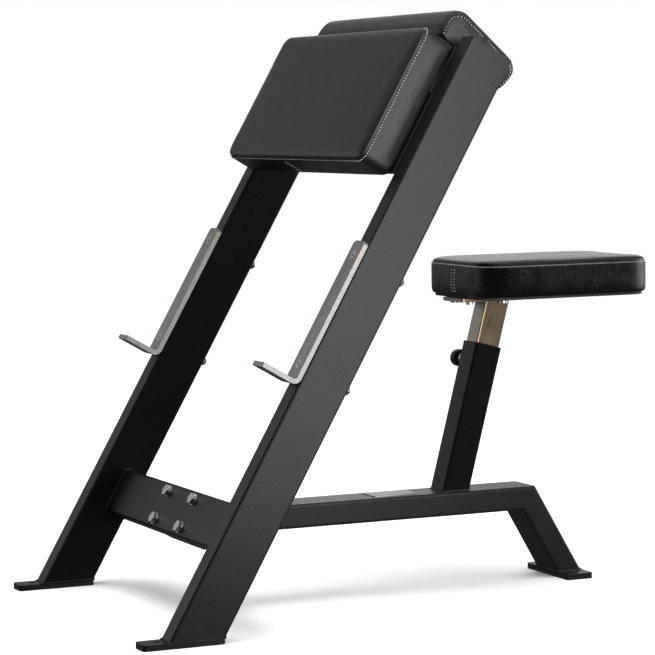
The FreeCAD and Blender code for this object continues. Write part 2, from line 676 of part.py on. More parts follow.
def make_post_plug():
    body = new_body("post_plug", SLEEVE)
    flange = new_sketch(body, "XY_Plane", "post_low - cap_flange")
    rounded_rectangle(flange, "-post_width / 2", POST_FRONT, "post_width / 2", POST_BACK, "post_corner")
    pad(body, flange, "cap_flange")
    inside = "post_wall + plug_clearance"
    plug = tube_section(body, "post_low", f"-post_width / 2 + {inside}", f"post_width / 2 - ({inside})",
                        f"{POST_FRONT} + {inside}", f"{POST_BACK} - ({inside})", "post_wall", "post_corner")
    pad(body, plug, "cap_depth")
    part(body, "post_plug")


# Spring plunger on the sleeve's -X side: every section lies in the body's XY plane, turned about X

PLUNGER = f"{SLEEVE} * {place(y=SLEEVE_MID, z='index_rise')}"
PIN_TIP = "(-post_width / 2 + pin_entry)"
HOUSING_FOOT = f"(-{SLEEVE_MID})"
HOUSING_TOP = f"({HOUSING_FOOT} - housing_length)"
CHAMBER_FOOT = f"({HOUSING_FOOT} - housing_end)"
CHAMBER_TOP = f"({HOUSING_TOP} + housing_end)"
COLLAR_TOP = f"({CHAMBER_FOOT} - seat_gap - pin_collar_thick)"
KNOB_FOOT = f"({HOUSING_TOP} - knob_gap)"
KNOB_TOP = f"({KNOB_FOOT} - knob_length)"
PIN_END = f"({KNOB_FOOT} - knob_socket)"


def turned(label, corners):
    """Turned piece about the plunger's axis from an outline of (x, radius)."""
    body = new_body(label, PLUNGER)
    sketch = new_sketch(body, "XY_Plane")
    outline(sketch, corners)
    revolve_about_x(body, sketch)
    return part(body, label)


def make_housing():
    bore, outer, chamber = f"{PIN_HOLE} / 2", "housing_size / 2", "housing_bore / 2"
    turned("plunger_housing", [
        (HOUSING_FOOT, bore), (HOUSING_FOOT, outer), (f"{HOUSING_TOP} + housing_chamfer", outer),
        (HOUSING_TOP, f"{outer} - housing_chamfer"), (HOUSING_TOP, bore), (CHAMBER_TOP, bore), (CHAMBER_TOP, chamber), (CHAMBER_FOOT, chamber),
        (CHAMBER_FOOT, bore)])


def make_pin():
    shaft, collar = "pin_size / 2", "pin_collar / 2"
    turned("plunger_pin", [
        (PIN_TIP, "0"), (PIN_TIP, f"{shaft} - pin_lead"), (f"{PIN_TIP} - pin_lead", shaft),
        (f"{CHAMBER_FOOT} - seat_gap", shaft), (f"{CHAMBER_FOOT} - seat_gap", collar), (COLLAR_TOP, collar),
        (COLLAR_TOP, shaft), (PIN_END, shaft), (PIN_END, "0")])


def make_knob():
    socket, neck, rim = "pin_size / 2 + seat_gap", "knob_neck / 2", "knob_size / 2"
    neck_end = f"{KNOB_FOOT} - knob_neck_length"
    end = f"{PIN_END} - seat_gap"
    turned("pull_knob", [
        (KNOB_FOOT, socket), (KNOB_FOOT, neck), (neck_end, neck),
        (f"{neck_end} - knob_flare", rim), (f"{KNOB_TOP} + knob_edge", rim, "right", "knob_edge"),
        (KNOB_TOP, f"{rim} - knob_edge"), (KNOB_TOP, "0"), (end, "0"), (end, socket)])


class WoundWire:
    """Scripted feature: a round wire wound round its own Z axis on biarcs of half a turn each."""

    def __init__(self, feature):
        for name in ("Radius", "Wire", "Height"):
            feature.addProperty("App::PropertyLength", name, "Coil")
        feature.addProperty("App::PropertyFloat", "Turns", "Coil")
        feature.Proxy = self

    def execute(self, feature):
        radius, height, turns = feature.Radius.Value, feature.Height.Value, feature.Turns
        half_turns = [coil_point(radius, height / turns, k * math.pi) for k in range(round(2 * turns) + 1)]
        arcs = [arc for start, end in zip(half_turns, half_turns[1:]) for arc in biarc(*start, *end)]
        spine = Part.Wire(arcs)
        first, heading = half_turns[0]
        pipe = Part.BRepOffsetAPI.MakePipeShell(spine)
        pipe.add(Part.Wire(Part.makeCircle(feature.Wire.Value / 2, first, heading)))
        pipe.build()
        pipe.makeSolid()
        wound = pipe.shape()
        wound.Placement = feature.Placement
        feature.Shape = wound
        gap = gap_between_turns(spine, turns) - feature.Wire.Value
        print(f"{feature.Name}: {gap:.2f} mm between its turns")


def coil_point(radius, pitch, angle):
    """Point and heading of a coil at an angle from its start."""
    rise = pitch / (2 * math.pi)
    point = Vector(radius * math.cos(angle), radius * math.sin(angle), rise * angle)
    return point, Vector(-radius * math.sin(angle), radius * math.cos(angle), rise).normalize()


def biarc(start, start_heading, end, end_heading):
    """Two arcs that join the points smoothly and keep both headings."""
    chord, headings = end - start, start_heading + end_heading
    turned = 2 * (1 - start_heading.dot(end_heading))
    along = chord.dot(headings)
    reach = (math.sqrt(along ** 2 + turned * chord.dot(chord)) - along) / turned
    corners = start + start_heading * reach, end - end_heading * reach
    middle = (corners[0] + corners[1]) * 0.5
    return tangent_arc(start, corners[0], middle), tangent_arc(middle, corners[1], end)


def tangent_arc(start, corner, end):
    """Arc from start to end whose tangents meet at the corner."""
    foot = (start + end) * 0.5
    half_chord = (end - start).Length / 2
    rise = corner - foot
    swing = math.atan2(rise.Length, half_chord)
    return Part.Arc(start, foot + rise.normalize() * half_chord * math.tan(swing / 2), end).toShape()


def gap_between_turns(spine, turns):
    """Least distance between points of a coil's line that lie half a turn or more apart."""
    points_per_turn = 24
    points = spine.discretize(Number=round(points_per_turn * turns) + 1)
    apart = points_per_turn // 2
    return min(a.distanceToPoint(b) for i, a in enumerate(points) for b in points[i + apart:])


def make_spring():
    """Coil between the pin's collar and the outer end of the housing."""
    start = f"{COLLAR_TOP} - seat_gap - spring_wire / 2"
    spring = doc.addObject("Part::FeaturePython", "plunger_spring")
    WoundWire(spring)
    bind(spring, Radius="spring_size / 2", Wire="spring_wire", Turns="spring_turns",
         Height=f"{COLLAR_TOP} - {CHAMBER_TOP} - spring_wire - 2 * seat_gap",
         Placement=f"{PLUNGER} * {place(x=start, axis='0; 1; 0', angle='-90')}")
    part(spring, "plunger_spring")


# Cushions and boards: X across, Y along the pad, Z out of its face

def rectangle_inset(sketch, width, y0, y1, corner, inset):
    rounded_rectangle(sketch, f"-({width}) / 2 + {inset}", f"{y0} + {inset}", f"({width}) / 2 - {inset}",
                      f"{y1} - {inset}", f"{corner}")


# Rolled edge in steps of its turn; crown in steps of its rise and of its inset as a share of the pad
ROLL_TURNS = (30, 60, 90)
CROWN_STEPS = ((0.7, 0.12), (1, 0.3))


def make_board(label, frame, width, y0, y1, corner, low, thickness, holes):
    body = new_body(label, frame)
    sketch = new_sketch(body, "XY_Plane", low)
    rectangle_inset(sketch, width, y0, y1, f"({corner} - board_inset)", "board_inset")
    pad(body, sketch, thickness)
    bores = new_sketch(body, "XY_Plane", low)
    for x, y, grip in holes:
        circle(bores, x, y, "pad_screw + 2 * seat_gap")
    pocket(body, bores, "pad_screw_bite + seat_gap", reverse=True)
    part(body, label)


def make_cushion(label, frame, width, y0, y1, corner, low, thickness, roll, board=None):
    """Box cushion: sides drawn in at the back and the seam, rolled edge, crowned face.

    With a board, the cushion wraps that board and has a recess for it in its back.
    """
    body = new_body(label, frame)
    edge = f"({low} + {thickness} - cushion_crown)"
    seam = f"({edge} - {roll})"
    length = f"({y1} - ({y0}))"
    levels = [(low, "cushion_tuck"), (f"({low} + {seam}) / 2", "0"), (seam, "cushion_belly")]
    levels += [(f"{seam} + {roll} * sin({turn})", f"cushion_belly + {roll} * (1 - cos({turn}))")
               for turn in ROLL_TURNS]
    levels += [(f"{edge} + cushion_crown * {rise}", f"cushion_belly + {roll} + {length} * {inset}")
               for rise, inset in CROWN_STEPS]
    sections = []
    for level, inset in levels:
        sketch = new_sketch(body, "XY_Plane", level)
        rectangle_inset(sketch, width, y0, y1, f"max({corner} - ({inset}); crown_corner)", f"({inset})")
        sections.append(sketch)
    loft = body.newObject("PartDesign::AdditiveLoft", f"{label}_loft")
    loft.Profile = sections[0]
    loft.Sections = sections[1:]
    loft.Ruled = True
    body.Tip = loft
    if board:
        recess = new_sketch(body, "XY_Plane", low)
        rectangle_inset(recess, width, y0, y1, f"({corner} - board_inset)", "(board_inset - seat_gap)")
        pocket(body, recess, board, reverse=True)
    part(body, label)


# Screws that hold the boards, as (x, y, grip) in the frame of each pad
ARM_LOW = f"({ARM_TOP} - arm_length)"
ARM_FRAME = f"{LEAN} * {place(y=ARM_BACK, z=ARM_LOW, angle='90')}"
SEAT_FRAME = place(z="seat_plate_low + seat_plate_thick")
TILT = "(chest_slope + upright_lean - 90)"
FOLD_Y = f"(arm_board / cos({TILT}))"
FOLD_TURN = f"(90 + {TILT})"
FOLD_REACH = f"((ledge_bend + ledge_thick) * tan({FOLD_TURN} / 2))"
ARM_SCREW_TOP = "(arm_length - ledge_drop + arm_screw_rise)"
ARM_SCREW_LOW = "(arm_length - carrier_drop - carrier_height / 2)"
ARM_SCREWS = [(f"{sx}pad_screw_pitch / 2", y, grip) for sx in "-+"
              for y, grip in ((ARM_SCREW_TOP, "ledge_thick"), (ARM_SCREW_LOW, "carrier_wall"))]
CHEST_SCREW_MID = f"({FOLD_Y} + ({FOLD_REACH} + ledge_length) / 2)"
CHEST_SCREWS = [(f"{sx}pad_screw_pitch / 2", f"({CHEST_SCREW_MID} {sy} chest_screw_along / 2)", "ledge_thick")
                for sx in "-+" for sy in "-+"]
SEAT_SCREW_Y = "(seat_plate_front + seat_screw_front)"
SEAT_SCREWS = [(f"{sx}seat_screw_across / 2", y, "seat_plate_thick")
               for sx in "-+" for y in (SEAT_SCREW_Y, f"({SEAT_SCREW_Y} + seat_screw_along)")]


def make_pad_screws(label, frame, spots):
    """Pan head screws from behind, through the carrier and into the board."""
    screws = []
    for k, (x, y, grip) in enumerate(spots):
        head = cylinder(f"{label}_head_{k}", "pad_screw_head", "pad_screw_head_height",
                        f"{frame} * {place(x, y, f'-{grip} - pad_screw_head_height')}")
        shank = cylinder(f"{label}_shank_{k}", "pad_screw", f"{grip} + pad_screw_bite",
                         f"{frame} * {place(x, y, f'-{grip}')}")
        screws.append(fused(f"{label}_{k}", head, shank))
    part(group(label, screws), label)


def between_uprights(gap):
    """Width that leaves a gap on both sides to the uprights' inner faces."""
    return f"(frame_width - 2 * tube_width - 2 * {gap})"


def make_pads():
    arm_width, chest_width = between_uprights("arm_side_gap"), between_uprights("chest_side_gap")
    chest_back = "(chest_length - chest_overhang)"
    pads = (
        ("arm", ARM_FRAME, (arm_width, "0", "arm_length", "arm_corner"), ARM_SCREWS, True),
        ("chest", CHEST, (chest_width, "(-chest_overhang)", chest_back, "chest_corner"), CHEST_SCREWS, True),
        ("seat", SEAT_FRAME, ("seat_width", "seat_front", "(seat_front + seat_length)", "seat_corner"),
         SEAT_SCREWS, False),
    )
    for name, frame, shape, screws, wrapped in pads:
        board, thickness = f"{name}_board", f"{name}_thick"
        make_board(board, frame, *shape, "0", board, screws)
        if wrapped:
            make_cushion(f"{name}_pad", frame, *shape, "0", thickness, f"{name}_edge", board)
        else:
            make_cushion(f"{name}_pad", frame, *shape, board, thickness, f"{name}_edge")
        make_pad_screws(f"{name}_screws", frame, screws)


def make_seat_plate():
    body = new_body("seat_plate", place(z="seat_plate_low"))
    sketch = new_sketch(body, "XY_Plane")
    rounded_rectangle(sketch, "-seat_plate_width / 2", "seat_plate_front", "seat_plate_width / 2",
                      "seat_plate_front + seat_plate_length", "foot_corner")
    for x, y, grip in SEAT_SCREWS:
        circle(sketch, x, y, "pad_screw + hole_clearance")
    pad(body, sketch, "seat_plate_thick")
    part(body, "seat_plate")


# Carriers that hold the arm and chest pads between the uprights

def make_lower_carrier():
    """Bent plate: its web stands behind the arm board and its upper edge is turned back."""
    body = new_body("pad_carrier_lower", LEAN)
    low = f"({ARM_TOP} - carrier_drop - carrier_height)"
    high = f"({low} + carrier_height)"
    bend = "(carrier_wall + carrier_bend)"
    turn = f"({ARM_BACK} + {bend})"
    end = f"({ARM_BACK} + carrier_depth)"
    web = f"({ARM_BACK} + carrier_wall)"
    profile = new_sketch(body, "YZ_Plane")
    outline(profile, [
        (ARM_BACK, low), (web, low), (web, f"{high} - {bend}", "right", "carrier_bend"),
        (turn, f"{high} - carrier_wall"), (end, f"{high} - carrier_wall"), (end, high),
        (turn, high, "left", bend), (ARM_BACK, f"{high} - {bend}")])
    pad(body, profile, f"2 * {INNER_X}", symmetric=True)
    holes = new_sketch(body, "XZ_Plane")
    for sx in "-+":
        circle(holes, f"{sx}pad_screw_pitch / 2", f"{ARM_LOW} + {ARM_SCREW_LOW}", "pad_screw + hole_clearance")
    cut_through(body, holes)
    part(body, "pad_carrier_lower")


def make_upper_carrier():
    """Bent plate: one leg stands behind the arm board, the other lies under the chest board."""
    body = new_body("pad_carrier_upper_blank", LEAN)
    fold = f"({ARM_TOP} + chest_clear - arm_board * tan({TILT}))"
    foot = f"({ARM_TOP} - ledge_drop)"
    back = f"({ARM_BACK} + ledge_thick)"

    def on_leg(distance, depth):
        """Point of the lying leg: a distance from the fold and a depth below its upper face."""
        return (f"{ARM_BACK} + ({distance}) * cos({TILT}) - ({depth}) * sin({TILT})",
                f"{fold} - ({distance}) * sin({TILT}) - ({depth}) * cos({TILT})")

    profile = new_sketch(body, "YZ_Plane")
    outline(profile, [
        (ARM_BACK, foot), (back, foot), (back, f"{fold} - {FOLD_REACH}", "right", "ledge_bend"),
        on_leg(FOLD_REACH, "ledge_thick"), on_leg("ledge_length", "ledge_thick"), on_leg("ledge_length", "0"),
        (*on_leg(FOLD_REACH, "0"), "left", "ledge_bend + ledge_thick"), (ARM_BACK, f"{fold} - {FOLD_REACH}")])
    pad(body, profile, f"2 * {INNER_X}", symmetric=True)
    bores = [cylinder(f"upper_bore_{k}", "pad_screw + hole_clearance", "3 * ledge_thick",
                      f"{frame} * {place(x, y, '-2 * ledge_thick')}")
             for frame, spots in ((ARM_FRAME, ARM_SCREWS), (CHEST, CHEST_SCREWS))
             for k, (x, y, grip) in enumerate(spots) if grip == "ledge_thick"]
    part(without("pad_carrier_bored", body, fused("upper_bores", *bores)), "pad_carrier_upper")


def check_and_write():
    doc.recompute()
    for obj in doc.Objects:
        if "Invalid" in obj.State or "Error" in obj.State:
            raise RuntimeError(f"{obj.Label} failed: {obj.State}")
    for obj in PARTS:
        if obj.Shape.isNull() or not obj.Shape.isValid():
            raise RuntimeError(f"{obj.Label} has no valid shape")
    os.makedirs("parts", exist_ok=True)
    for obj in PARTS:
        obj.Shape.exportStep(f"parts/{obj.Label}.step")


for side_name, side_sign in SIDES:
    make_upright(side_name, side_sign)
    make_upright_cap(side_name, side_sign)
    make_front_foot(side_name, side_sign)
    make_bar_rest(side_name, side_sign)
    make_guide_liner(side_name, side_sign)
make_cross_tube()
make_joint_plate()
make_joint_fasteners()
make_spine_beam()
make_rear_leg()
make_rear_foot()
make_rest_fasteners()
make_sleeve()
make_post()
make_post_plug()
make_housing()
make_pin()
make_knob()
make_spring()
make_pads()
make_seat_plate()
make_lower_carrier()
make_upper_carrier()
check_and_write()
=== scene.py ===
"""Looks of the preacher curl bench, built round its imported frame.

Metres, in the part's own frame: X across the bench, -Y the bar-rest side, +Y the seat side, +Z up.
"""

import json
import math

import bmesh
import bpy
from mathutils import Matrix, Vector, geometry, noise
from mathutils.bvhtree import BVHTree
from mathutils.kdtree import KDTree

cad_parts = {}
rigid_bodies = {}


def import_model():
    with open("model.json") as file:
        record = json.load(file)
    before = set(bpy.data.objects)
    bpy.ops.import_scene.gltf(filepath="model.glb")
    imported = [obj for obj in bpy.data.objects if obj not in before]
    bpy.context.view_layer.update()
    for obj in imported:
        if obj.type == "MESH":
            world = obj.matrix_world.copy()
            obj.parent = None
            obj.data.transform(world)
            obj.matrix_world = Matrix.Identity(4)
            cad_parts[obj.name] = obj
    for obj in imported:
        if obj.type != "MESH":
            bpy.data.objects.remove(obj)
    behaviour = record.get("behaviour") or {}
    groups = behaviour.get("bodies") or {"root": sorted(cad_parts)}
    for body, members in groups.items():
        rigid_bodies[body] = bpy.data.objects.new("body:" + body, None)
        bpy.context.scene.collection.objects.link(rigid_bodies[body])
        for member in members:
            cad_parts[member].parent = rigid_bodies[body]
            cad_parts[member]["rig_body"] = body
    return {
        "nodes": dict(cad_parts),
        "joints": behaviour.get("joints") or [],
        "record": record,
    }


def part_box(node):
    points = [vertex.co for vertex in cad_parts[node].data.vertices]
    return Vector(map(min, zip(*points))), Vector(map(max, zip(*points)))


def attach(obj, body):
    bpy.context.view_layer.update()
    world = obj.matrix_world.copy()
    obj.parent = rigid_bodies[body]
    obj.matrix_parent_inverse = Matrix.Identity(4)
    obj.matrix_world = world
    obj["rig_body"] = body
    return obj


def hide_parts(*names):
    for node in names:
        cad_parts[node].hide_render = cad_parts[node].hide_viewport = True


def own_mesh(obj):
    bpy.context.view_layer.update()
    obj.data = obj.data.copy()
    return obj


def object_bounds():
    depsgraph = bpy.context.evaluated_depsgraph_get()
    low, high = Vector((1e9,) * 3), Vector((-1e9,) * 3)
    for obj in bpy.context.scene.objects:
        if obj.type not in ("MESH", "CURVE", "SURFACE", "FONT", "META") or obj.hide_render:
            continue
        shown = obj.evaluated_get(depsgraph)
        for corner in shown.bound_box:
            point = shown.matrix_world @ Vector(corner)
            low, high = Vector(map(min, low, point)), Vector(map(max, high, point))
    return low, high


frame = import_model()
CAD_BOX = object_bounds()
NODES = frame["nodes"]
MM = 0.001
UP = Vector((0, 0, 1))
ACROSS = Vector((1, 0, 0))

# Driving values that the frame's boxes don't give
UPRIGHT_LEAN = math.radians(60)
CHEST_SLOPE = math.radians(43)
SLEEVE_LEAN = math.radians(75)

# The photograph's camera
IMAGE_SIDE = 655
CAMERA_PLACE = Vector((4.2123, -1.9354, 0.8105))
CAMERA_AIM = Vector((-0.91046, 0.40665, -0.07557))
CAMERA_ROLL = math.radians(-0.889)
FOCAL_PIXELS = 2774.63
OPTICAL_AXIS_ROW = 320.609


# Shader graphs

NOISE_LOW, NOISE_HIGH = 0.3, 0.7


class Value:
    """A shader socket that takes part in Python arithmetic."""

    def __init__(self, finish, socket):
        self.finish = finish
        self.socket = socket

    def maths(self, operation, first, second=0.0):
        return self.finish.node("ShaderNodeMath", {"operation": operation}, {0: first, 1: second})

    def __add__(self, other):
        return self.maths("ADD", self, other)

    def __rsub__(self, other):
        return self.maths("SUBTRACT", other, self)

    def __mul__(self, other):
        return self.maths("MULTIPLY", self, other)

    def __abs__(self):
        return self.maths("ABSOLUTE", self)

    def between(self, low, high, to_low=0.0, to_high=1.0):
        """This value's stretch from low to high, clamped and laid on another stretch."""
        return self.finish.node("ShaderNodeMapRange", {"clamp": True},
                                {0: self, 1: low, 2: high, 3: to_low, 4: to_high})

    def spread(self, to_low=0.0, to_high=1.0):
        """A noise's usual stretch laid on another."""
        return self.between(NOISE_LOW, NOISE_HIGH, to_low, to_high)

    def stepped(self, low, high):
        """A soft step from 0 below low to 1 above high."""
        return self.finish.node("ShaderNodeMapRange", {"interpolation_type": "SMOOTHSTEP"},
                                {0: self, 1: low, 2: high})


class Finish:
    """A material and the nodes that it is made of."""

    def __init__(self, name, **constants):
        self.material = bpy.data.materials.new(name)
        self.material.use_nodes = True
        self.tree = self.material.node_tree
        self.shader = self.tree.nodes["Principled BSDF"]
        for socket, constant in constants.items():
            self.shader.inputs[socket.replace("_", " ")].default_value = constant

    def node(self, kind, settings=None, sockets=None, output=0):
        """A new node with its settings, then its sockets' values or links; gives one output."""
        made = self.tree.nodes.new(kind)
        for key, setting in (settings or {}).items():
            setattr(made, key, setting)
        for key, given in (sockets or {}).items():
            if isinstance(given, Value):
                self.tree.links.new(given.socket, made.inputs[key])
            else:
                made.inputs[key].default_value = given
        return Value(self, made.outputs[output])

    def place(self, stretch=(1, 1, 1), turn=(0, 0, 0)):
        """Object coordinates, turned and then stretched along the axes."""
        spot = self.node("ShaderNodeTexCoord", output="Object")
        turned = self.node("ShaderNodeMapping", None, {"Vector": spot, "Rotation": turn})
        return self.node("ShaderNodeMapping", None, {"Vector": turned, "Scale": stretch})

    def facing(self, axis):
        """How squarely a face looks along one of the object's axes, from 0 to 1."""
        normal = self.node("ShaderNodeTexCoord", output="Normal")
        return abs(self.node("ShaderNodeSeparateXYZ", None, {0: normal}, axis))

    def noise(self, spot, scale, detail, roughness, distortion=0.0):
        return self.node("ShaderNodeTexNoise", None, {
            "Vector": spot, "Scale": scale, "Detail": detail, "Roughness": roughness,
            "Distortion": distortion})

    def wobble(self, spot, scale, amount):
        """Coordinates shifted about by noise, so that a pattern on them runs unevenly."""
        shift = self.node("ShaderNodeTexNoise", None, {"Vector": spot, "Scale": scale}, "Color")
        return self.node("ShaderNodeVectorMath", {"operation": "MULTIPLY_ADD"},
                         {0: shift, 1: (amount, amount, amount), 2: spot})

    def cells(self, spot, scale, feature="DISTANCE_TO_EDGE"):
        return self.node("ShaderNodeTexVoronoi", {"feature": feature}, {"Vector": spot, "Scale": scale})

    def blend(self, share, first, second):
        """Colour between two colours."""
        return self.node("ShaderNodeMix", {"data_type": "RGBA"}, {0: share, 6: first, 7: second}, 2)

    def bump(self, height, depth, strength, under=None):
        """Normal that a height of 0 to 1 over a depth in metres gives, on top of another."""
        sockets = {"Height": height, "Distance": depth, "Strength": strength}
        if under:
            sockets["Normal"] = under
        return self.node("ShaderNodeBump", None, sockets)

    def feed(self, **links):
        for socket, given in links.items():
            self.tree.links.new(given.socket, self.shader.inputs[socket.replace("_", " ")])
        return self.material


def grey(level, warmth=0.0):
    """Colour of a grey level, warmer or cooler."""
    return (level * (1 + warmth), level, level * (1 - warmth), 1)


# Finishes

def powder_coat():
    """Charcoal powder coat: orange peel with a speckle of coarser grains."""
    coat = Finish("charcoal_powder_coat", Specular_IOR_Level=0.38)
    spot = coat.place()
    peel = coat.noise(spot, scale=1100, detail=2, roughness=0.6)
    grains = coat.cells(spot, scale=520, feature="F1").stepped(0.1, 0.5)
    speckle = coat.noise(spot, scale=430, detail=2, roughness=0.75)
    clouds = coat.noise(spot, scale=9, detail=4, roughness=0.6)
    colour = coat.blend(speckle.between(0.32, 0.68), grey(0.004, -0.04), grey(0.018, -0.03))
    colour = coat.blend(clouds.spread(0, 0.25), colour, grey(0.02, -0.02))
    rough = clouds.between(0.25, 0.75, 0.36, 0.44) + speckle.spread(-0.07, 0.07)
    relief = coat.bump(peel, depth=0.0002, strength=0.5)
    relief = coat.bump(grains, depth=0.0003, strength=0.45, under=relief)
    return coat.feed(Base_Color=colour, Roughness=rough, Normal=relief)


def bare_steel(name, front, sides, rough, wear, turn, along):
    """Rolled or plated steel: fine lines along the bar, cloudy tone and small scuffs.

    front and sides are the tone and warmth of the faces that look along the bench and across it; a darker,
    warmer sides tone is painted shade and a painted warm reflection on the faces across the bench.
    """
    steel = Finish(name, Metallic=1.0)
    lines = steel.noise(steel.place(along, turn), scale=900, detail=3, roughness=0.6)
    spot = steel.place()
    clouds = steel.noise(spot, scale=22, detail=4, roughness=0.65)
    scuffs = steel.noise(spot, scale=420, detail=3, roughness=0.75, distortion=0.4).stepped(0.5, 0.64)
    # faces that look across the bench take the sides tone: painted shade, and on the post also a painted
    # warm reflection
    painted_shade_across = steel.facing("X").stepped(0.7, 0.9)
    dull = steel.blend(painted_shade_across, grey(*front), grey(*sides))
    bright = steel.blend(painted_shade_across, grey(front[0] * 1.25, front[1] * 0.6),
                         grey(sides[0] * 1.25, sides[1]))
    colour = steel.blend(clouds.spread(), dull, bright)
    colour = steel.blend(scuffs * wear, colour, grey(front[0] * 0.4, front[1]))
    roughness = clouds.between(0.25, 0.75, rough - 0.06, rough + 0.06)
    roughness = roughness + lines.spread(-0.05, 0.05)
    relief = steel.bump(lines, depth=0.00006, strength=0.5)
    return steel.feed(Base_Color=colour, Roughness=roughness, Normal=relief)


def zinc_plate():
    """Bright zinc on the fasteners, a little blue and mottled."""
    zinc = Finish("bright_zinc", Metallic=1.0)
    spot = zinc.place()
    flakes = zinc.cells(spot, scale=900, feature="F1")
    clouds = zinc.noise(spot, scale=180, detail=3, roughness=0.6)
    colour = zinc.blend(clouds.spread(), grey(0.52, -0.05), grey(0.72, -0.03))
    rough = clouds.spread(0.24, 0.36)
    relief = zinc.bump(flakes, depth=0.00006, strength=0.3)
    return zinc.feed(Base_Color=colour, Roughness=rough, Normal=relief)


def moulded_plastic():
    """Black moulded plastic with a fine spark-eroded grain."""
    plastic = Finish("black_moulded_plastic", Specular_IOR_Level=0.35)
    spot = plastic.place()
    grain = plastic.noise(spot, scale=1800, detail=2, roughness=0.6)
    clouds = plastic.noise(spot, scale=60, detail=3, roughness=0.6)
    colour = plastic.blend(clouds.spread(), grey(0.005), grey(0.008))
    rough = clouds.spread(0.36, 0.44)
    relief = plastic.bump(grain, depth=0.00012, strength=0.4)
    return plastic.feed(Base_Color=colour, Roughness=rough, Normal=relief)


def stained_plywood():
    """Plywood board under a black stain, with its plies and a faint grain."""
    wood = Finish("black_stained_plywood", Specular_IOR_Level=0.35)
    plies = wood.noise(wood.place((1, 1, 14)), scale=30, detail=2, roughness=0.5)
    grain = wood.noise(wood.place((1, 14, 14)), scale=40, detail=4, roughness=0.65, distortion=0.6)
    colour = wood.blend(grain.spread(), grey(0.012, 0.06), grey(0.03, 0.1))
    colour = wood.blend(plies.stepped(0.5, 0.62) * 0.5, colour, grey(0.045, 0.15))
    rough = grain.spread(0.55, 0.72)
    relief = wood.bump(grain, depth=0.0003, strength=0.4)
    return wood.feed(Base_Color=colour, Roughness=rough, Normal=relief)


def vinyl(name, turn, tone, rough):
    """Black upholstery vinyl: pebbled leather grain, fine crease lines in patches that also darken the
    colour as painted shade, and a soft gloss.
    """
    cover = Finish(name, Specular_IOR_Level=0.5)
    spot = cover.place((1, 1, 1), turn)
    pebbles = cover.cells(spot, scale=820).stepped(0.0, 0.16)
    pores = cover.noise(spot, scale=2400, detail=2, roughness=0.6)
    bent = cover.wobble(cover.place((1.0, 1.6, 1.0), turn), scale=40, amount=0.016)
    patches = cover.noise(spot, scale=24, detail=3, roughness=0.6).stepped(0.42, 0.62)
    creases_and_shade = (1 - cover.cells(bent, scale=95).stepped(0.0, 0.06)) * patches
    waves = cover.noise(spot, scale=18, detail=3, roughness=0.5, distortion=0.3)
    wear = cover.noise(spot, scale=55, detail=4, roughness=0.65)
    colour = cover.blend(wear.spread(), grey(tone, 0.01), grey(tone * 1.45, 0.02))
    # painted shade: the colour darkens along the crease lines
    colour = cover.blend(creases_and_shade * 0.3, colour, grey(tone * 0.6))
    gloss = wear.spread(rough - 0.03, rough + 0.04) + pores.spread(-0.03, 0.03)
    relief = cover.bump(waves, depth=0.0008, strength=0.25)
    relief = cover.bump(1 - creases_and_shade, depth=0.0007, strength=0.45, under=relief)
    relief = cover.bump(pebbles, depth=0.00012, strength=0.45, under=relief)
    return cover.feed(Base_Color=colour, Roughness=gloss, Normal=relief)


def thread():
    """Light grey sewing thread with its twist."""
    yarn = Finish("grey_sewing_thread", Specular_IOR_Level=0.3)
    twist = yarn.noise(yarn.place((1, 1, 1), (0.6, 0.4, 0.7)), scale=2600, detail=1, roughness=0.5)
    colour = yarn.blend(twist.spread(), grey(0.5), grey(0.8))
    return yarn.feed(Base_Color=colour, Roughness=twist.spread(0.6, 0.8))


def studio_floor():
    """Pale seamless paper."""
    paper = Finish("pale_paper", Specular_IOR_Level=0.1)
    fibres = paper.noise(paper.place(), scale=40, detail=4, roughness=0.6)
    colour = paper.blend(fibres.spread(), grey(0.86), grey(0.9))
    return paper.feed(Base_Color=colour, Roughness=fibres.spread(0.75, 0.85))


COAT = powder_coat()
ZINC = zinc_plate()
PLASTIC = moulded_plastic()
PLYWOOD = stained_plywood()
THREAD = thread()
# stretches that draw a pattern out into lines along an axis
ALONG_Z = (1, 1, 0.03)
ALONG_X = (0.03, 1, 1)
# the darker sides tones of the rest and post steel are painted shade; the post's warm sides tone is also a
# painted warm reflection
REST_STEEL = bare_steel(
    "brushed_rest_steel", front=(0.38, 0.09), sides=(0.25, 0.06), rough=0.46, wear=0.75,
    turn=(math.pi / 2 - UPRIGHT_LEAN, 0, 0), along=ALONG_Z)
POST_STEEL = bare_steel(
    "plated_post_steel", front=(0.36, 0.14), sides=(0.22, 0.34), rough=0.3, wear=0.15,
    turn=(math.pi / 2 - SLEEVE_LEAN, 0, 0), along=ALONG_Z)
PLATE_METAL = bare_steel(
    "brushed_plate", front=(0.3, 0.06), sides=(0.3, 0.06), rough=0.4, wear=0.3,
    turn=(0, 0, 0), along=ALONG_X)
SLOT_FINISH = {
    "frame_coat": COAT, "zinc_fastener": ZINC, "plated_steel": POST_STEEL, "rest_steel": REST_STEEL,
    "black_plastic": PLASTIC, "board": PLYWOOD,
}
SLOT_OF = {part["node"]: part["material_slot"] for part in frame["record"]["subparts"]}


def dress_frame():
    """Gives every CAD node the finish of its slot."""
    for node, slot in SLOT_OF.items():
        if slot in SLOT_FINISH:
            mesh = NODES[node].data
            mesh.materials.clear()
            mesh.materials.append(SLOT_FINISH[slot])


# Pieces

def add_piece(name, mesh, finish, body):
    """A mesh in the bench's frame as a piece that rides on a body."""
    mesh.materials.clear()
    mesh.materials.append(finish)
    mesh.shade_smooth()
    piece = bpy.data.objects.new(name, mesh)
    bpy.context.scene.collection.objects.link(piece)
    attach(piece, body)
    return piece


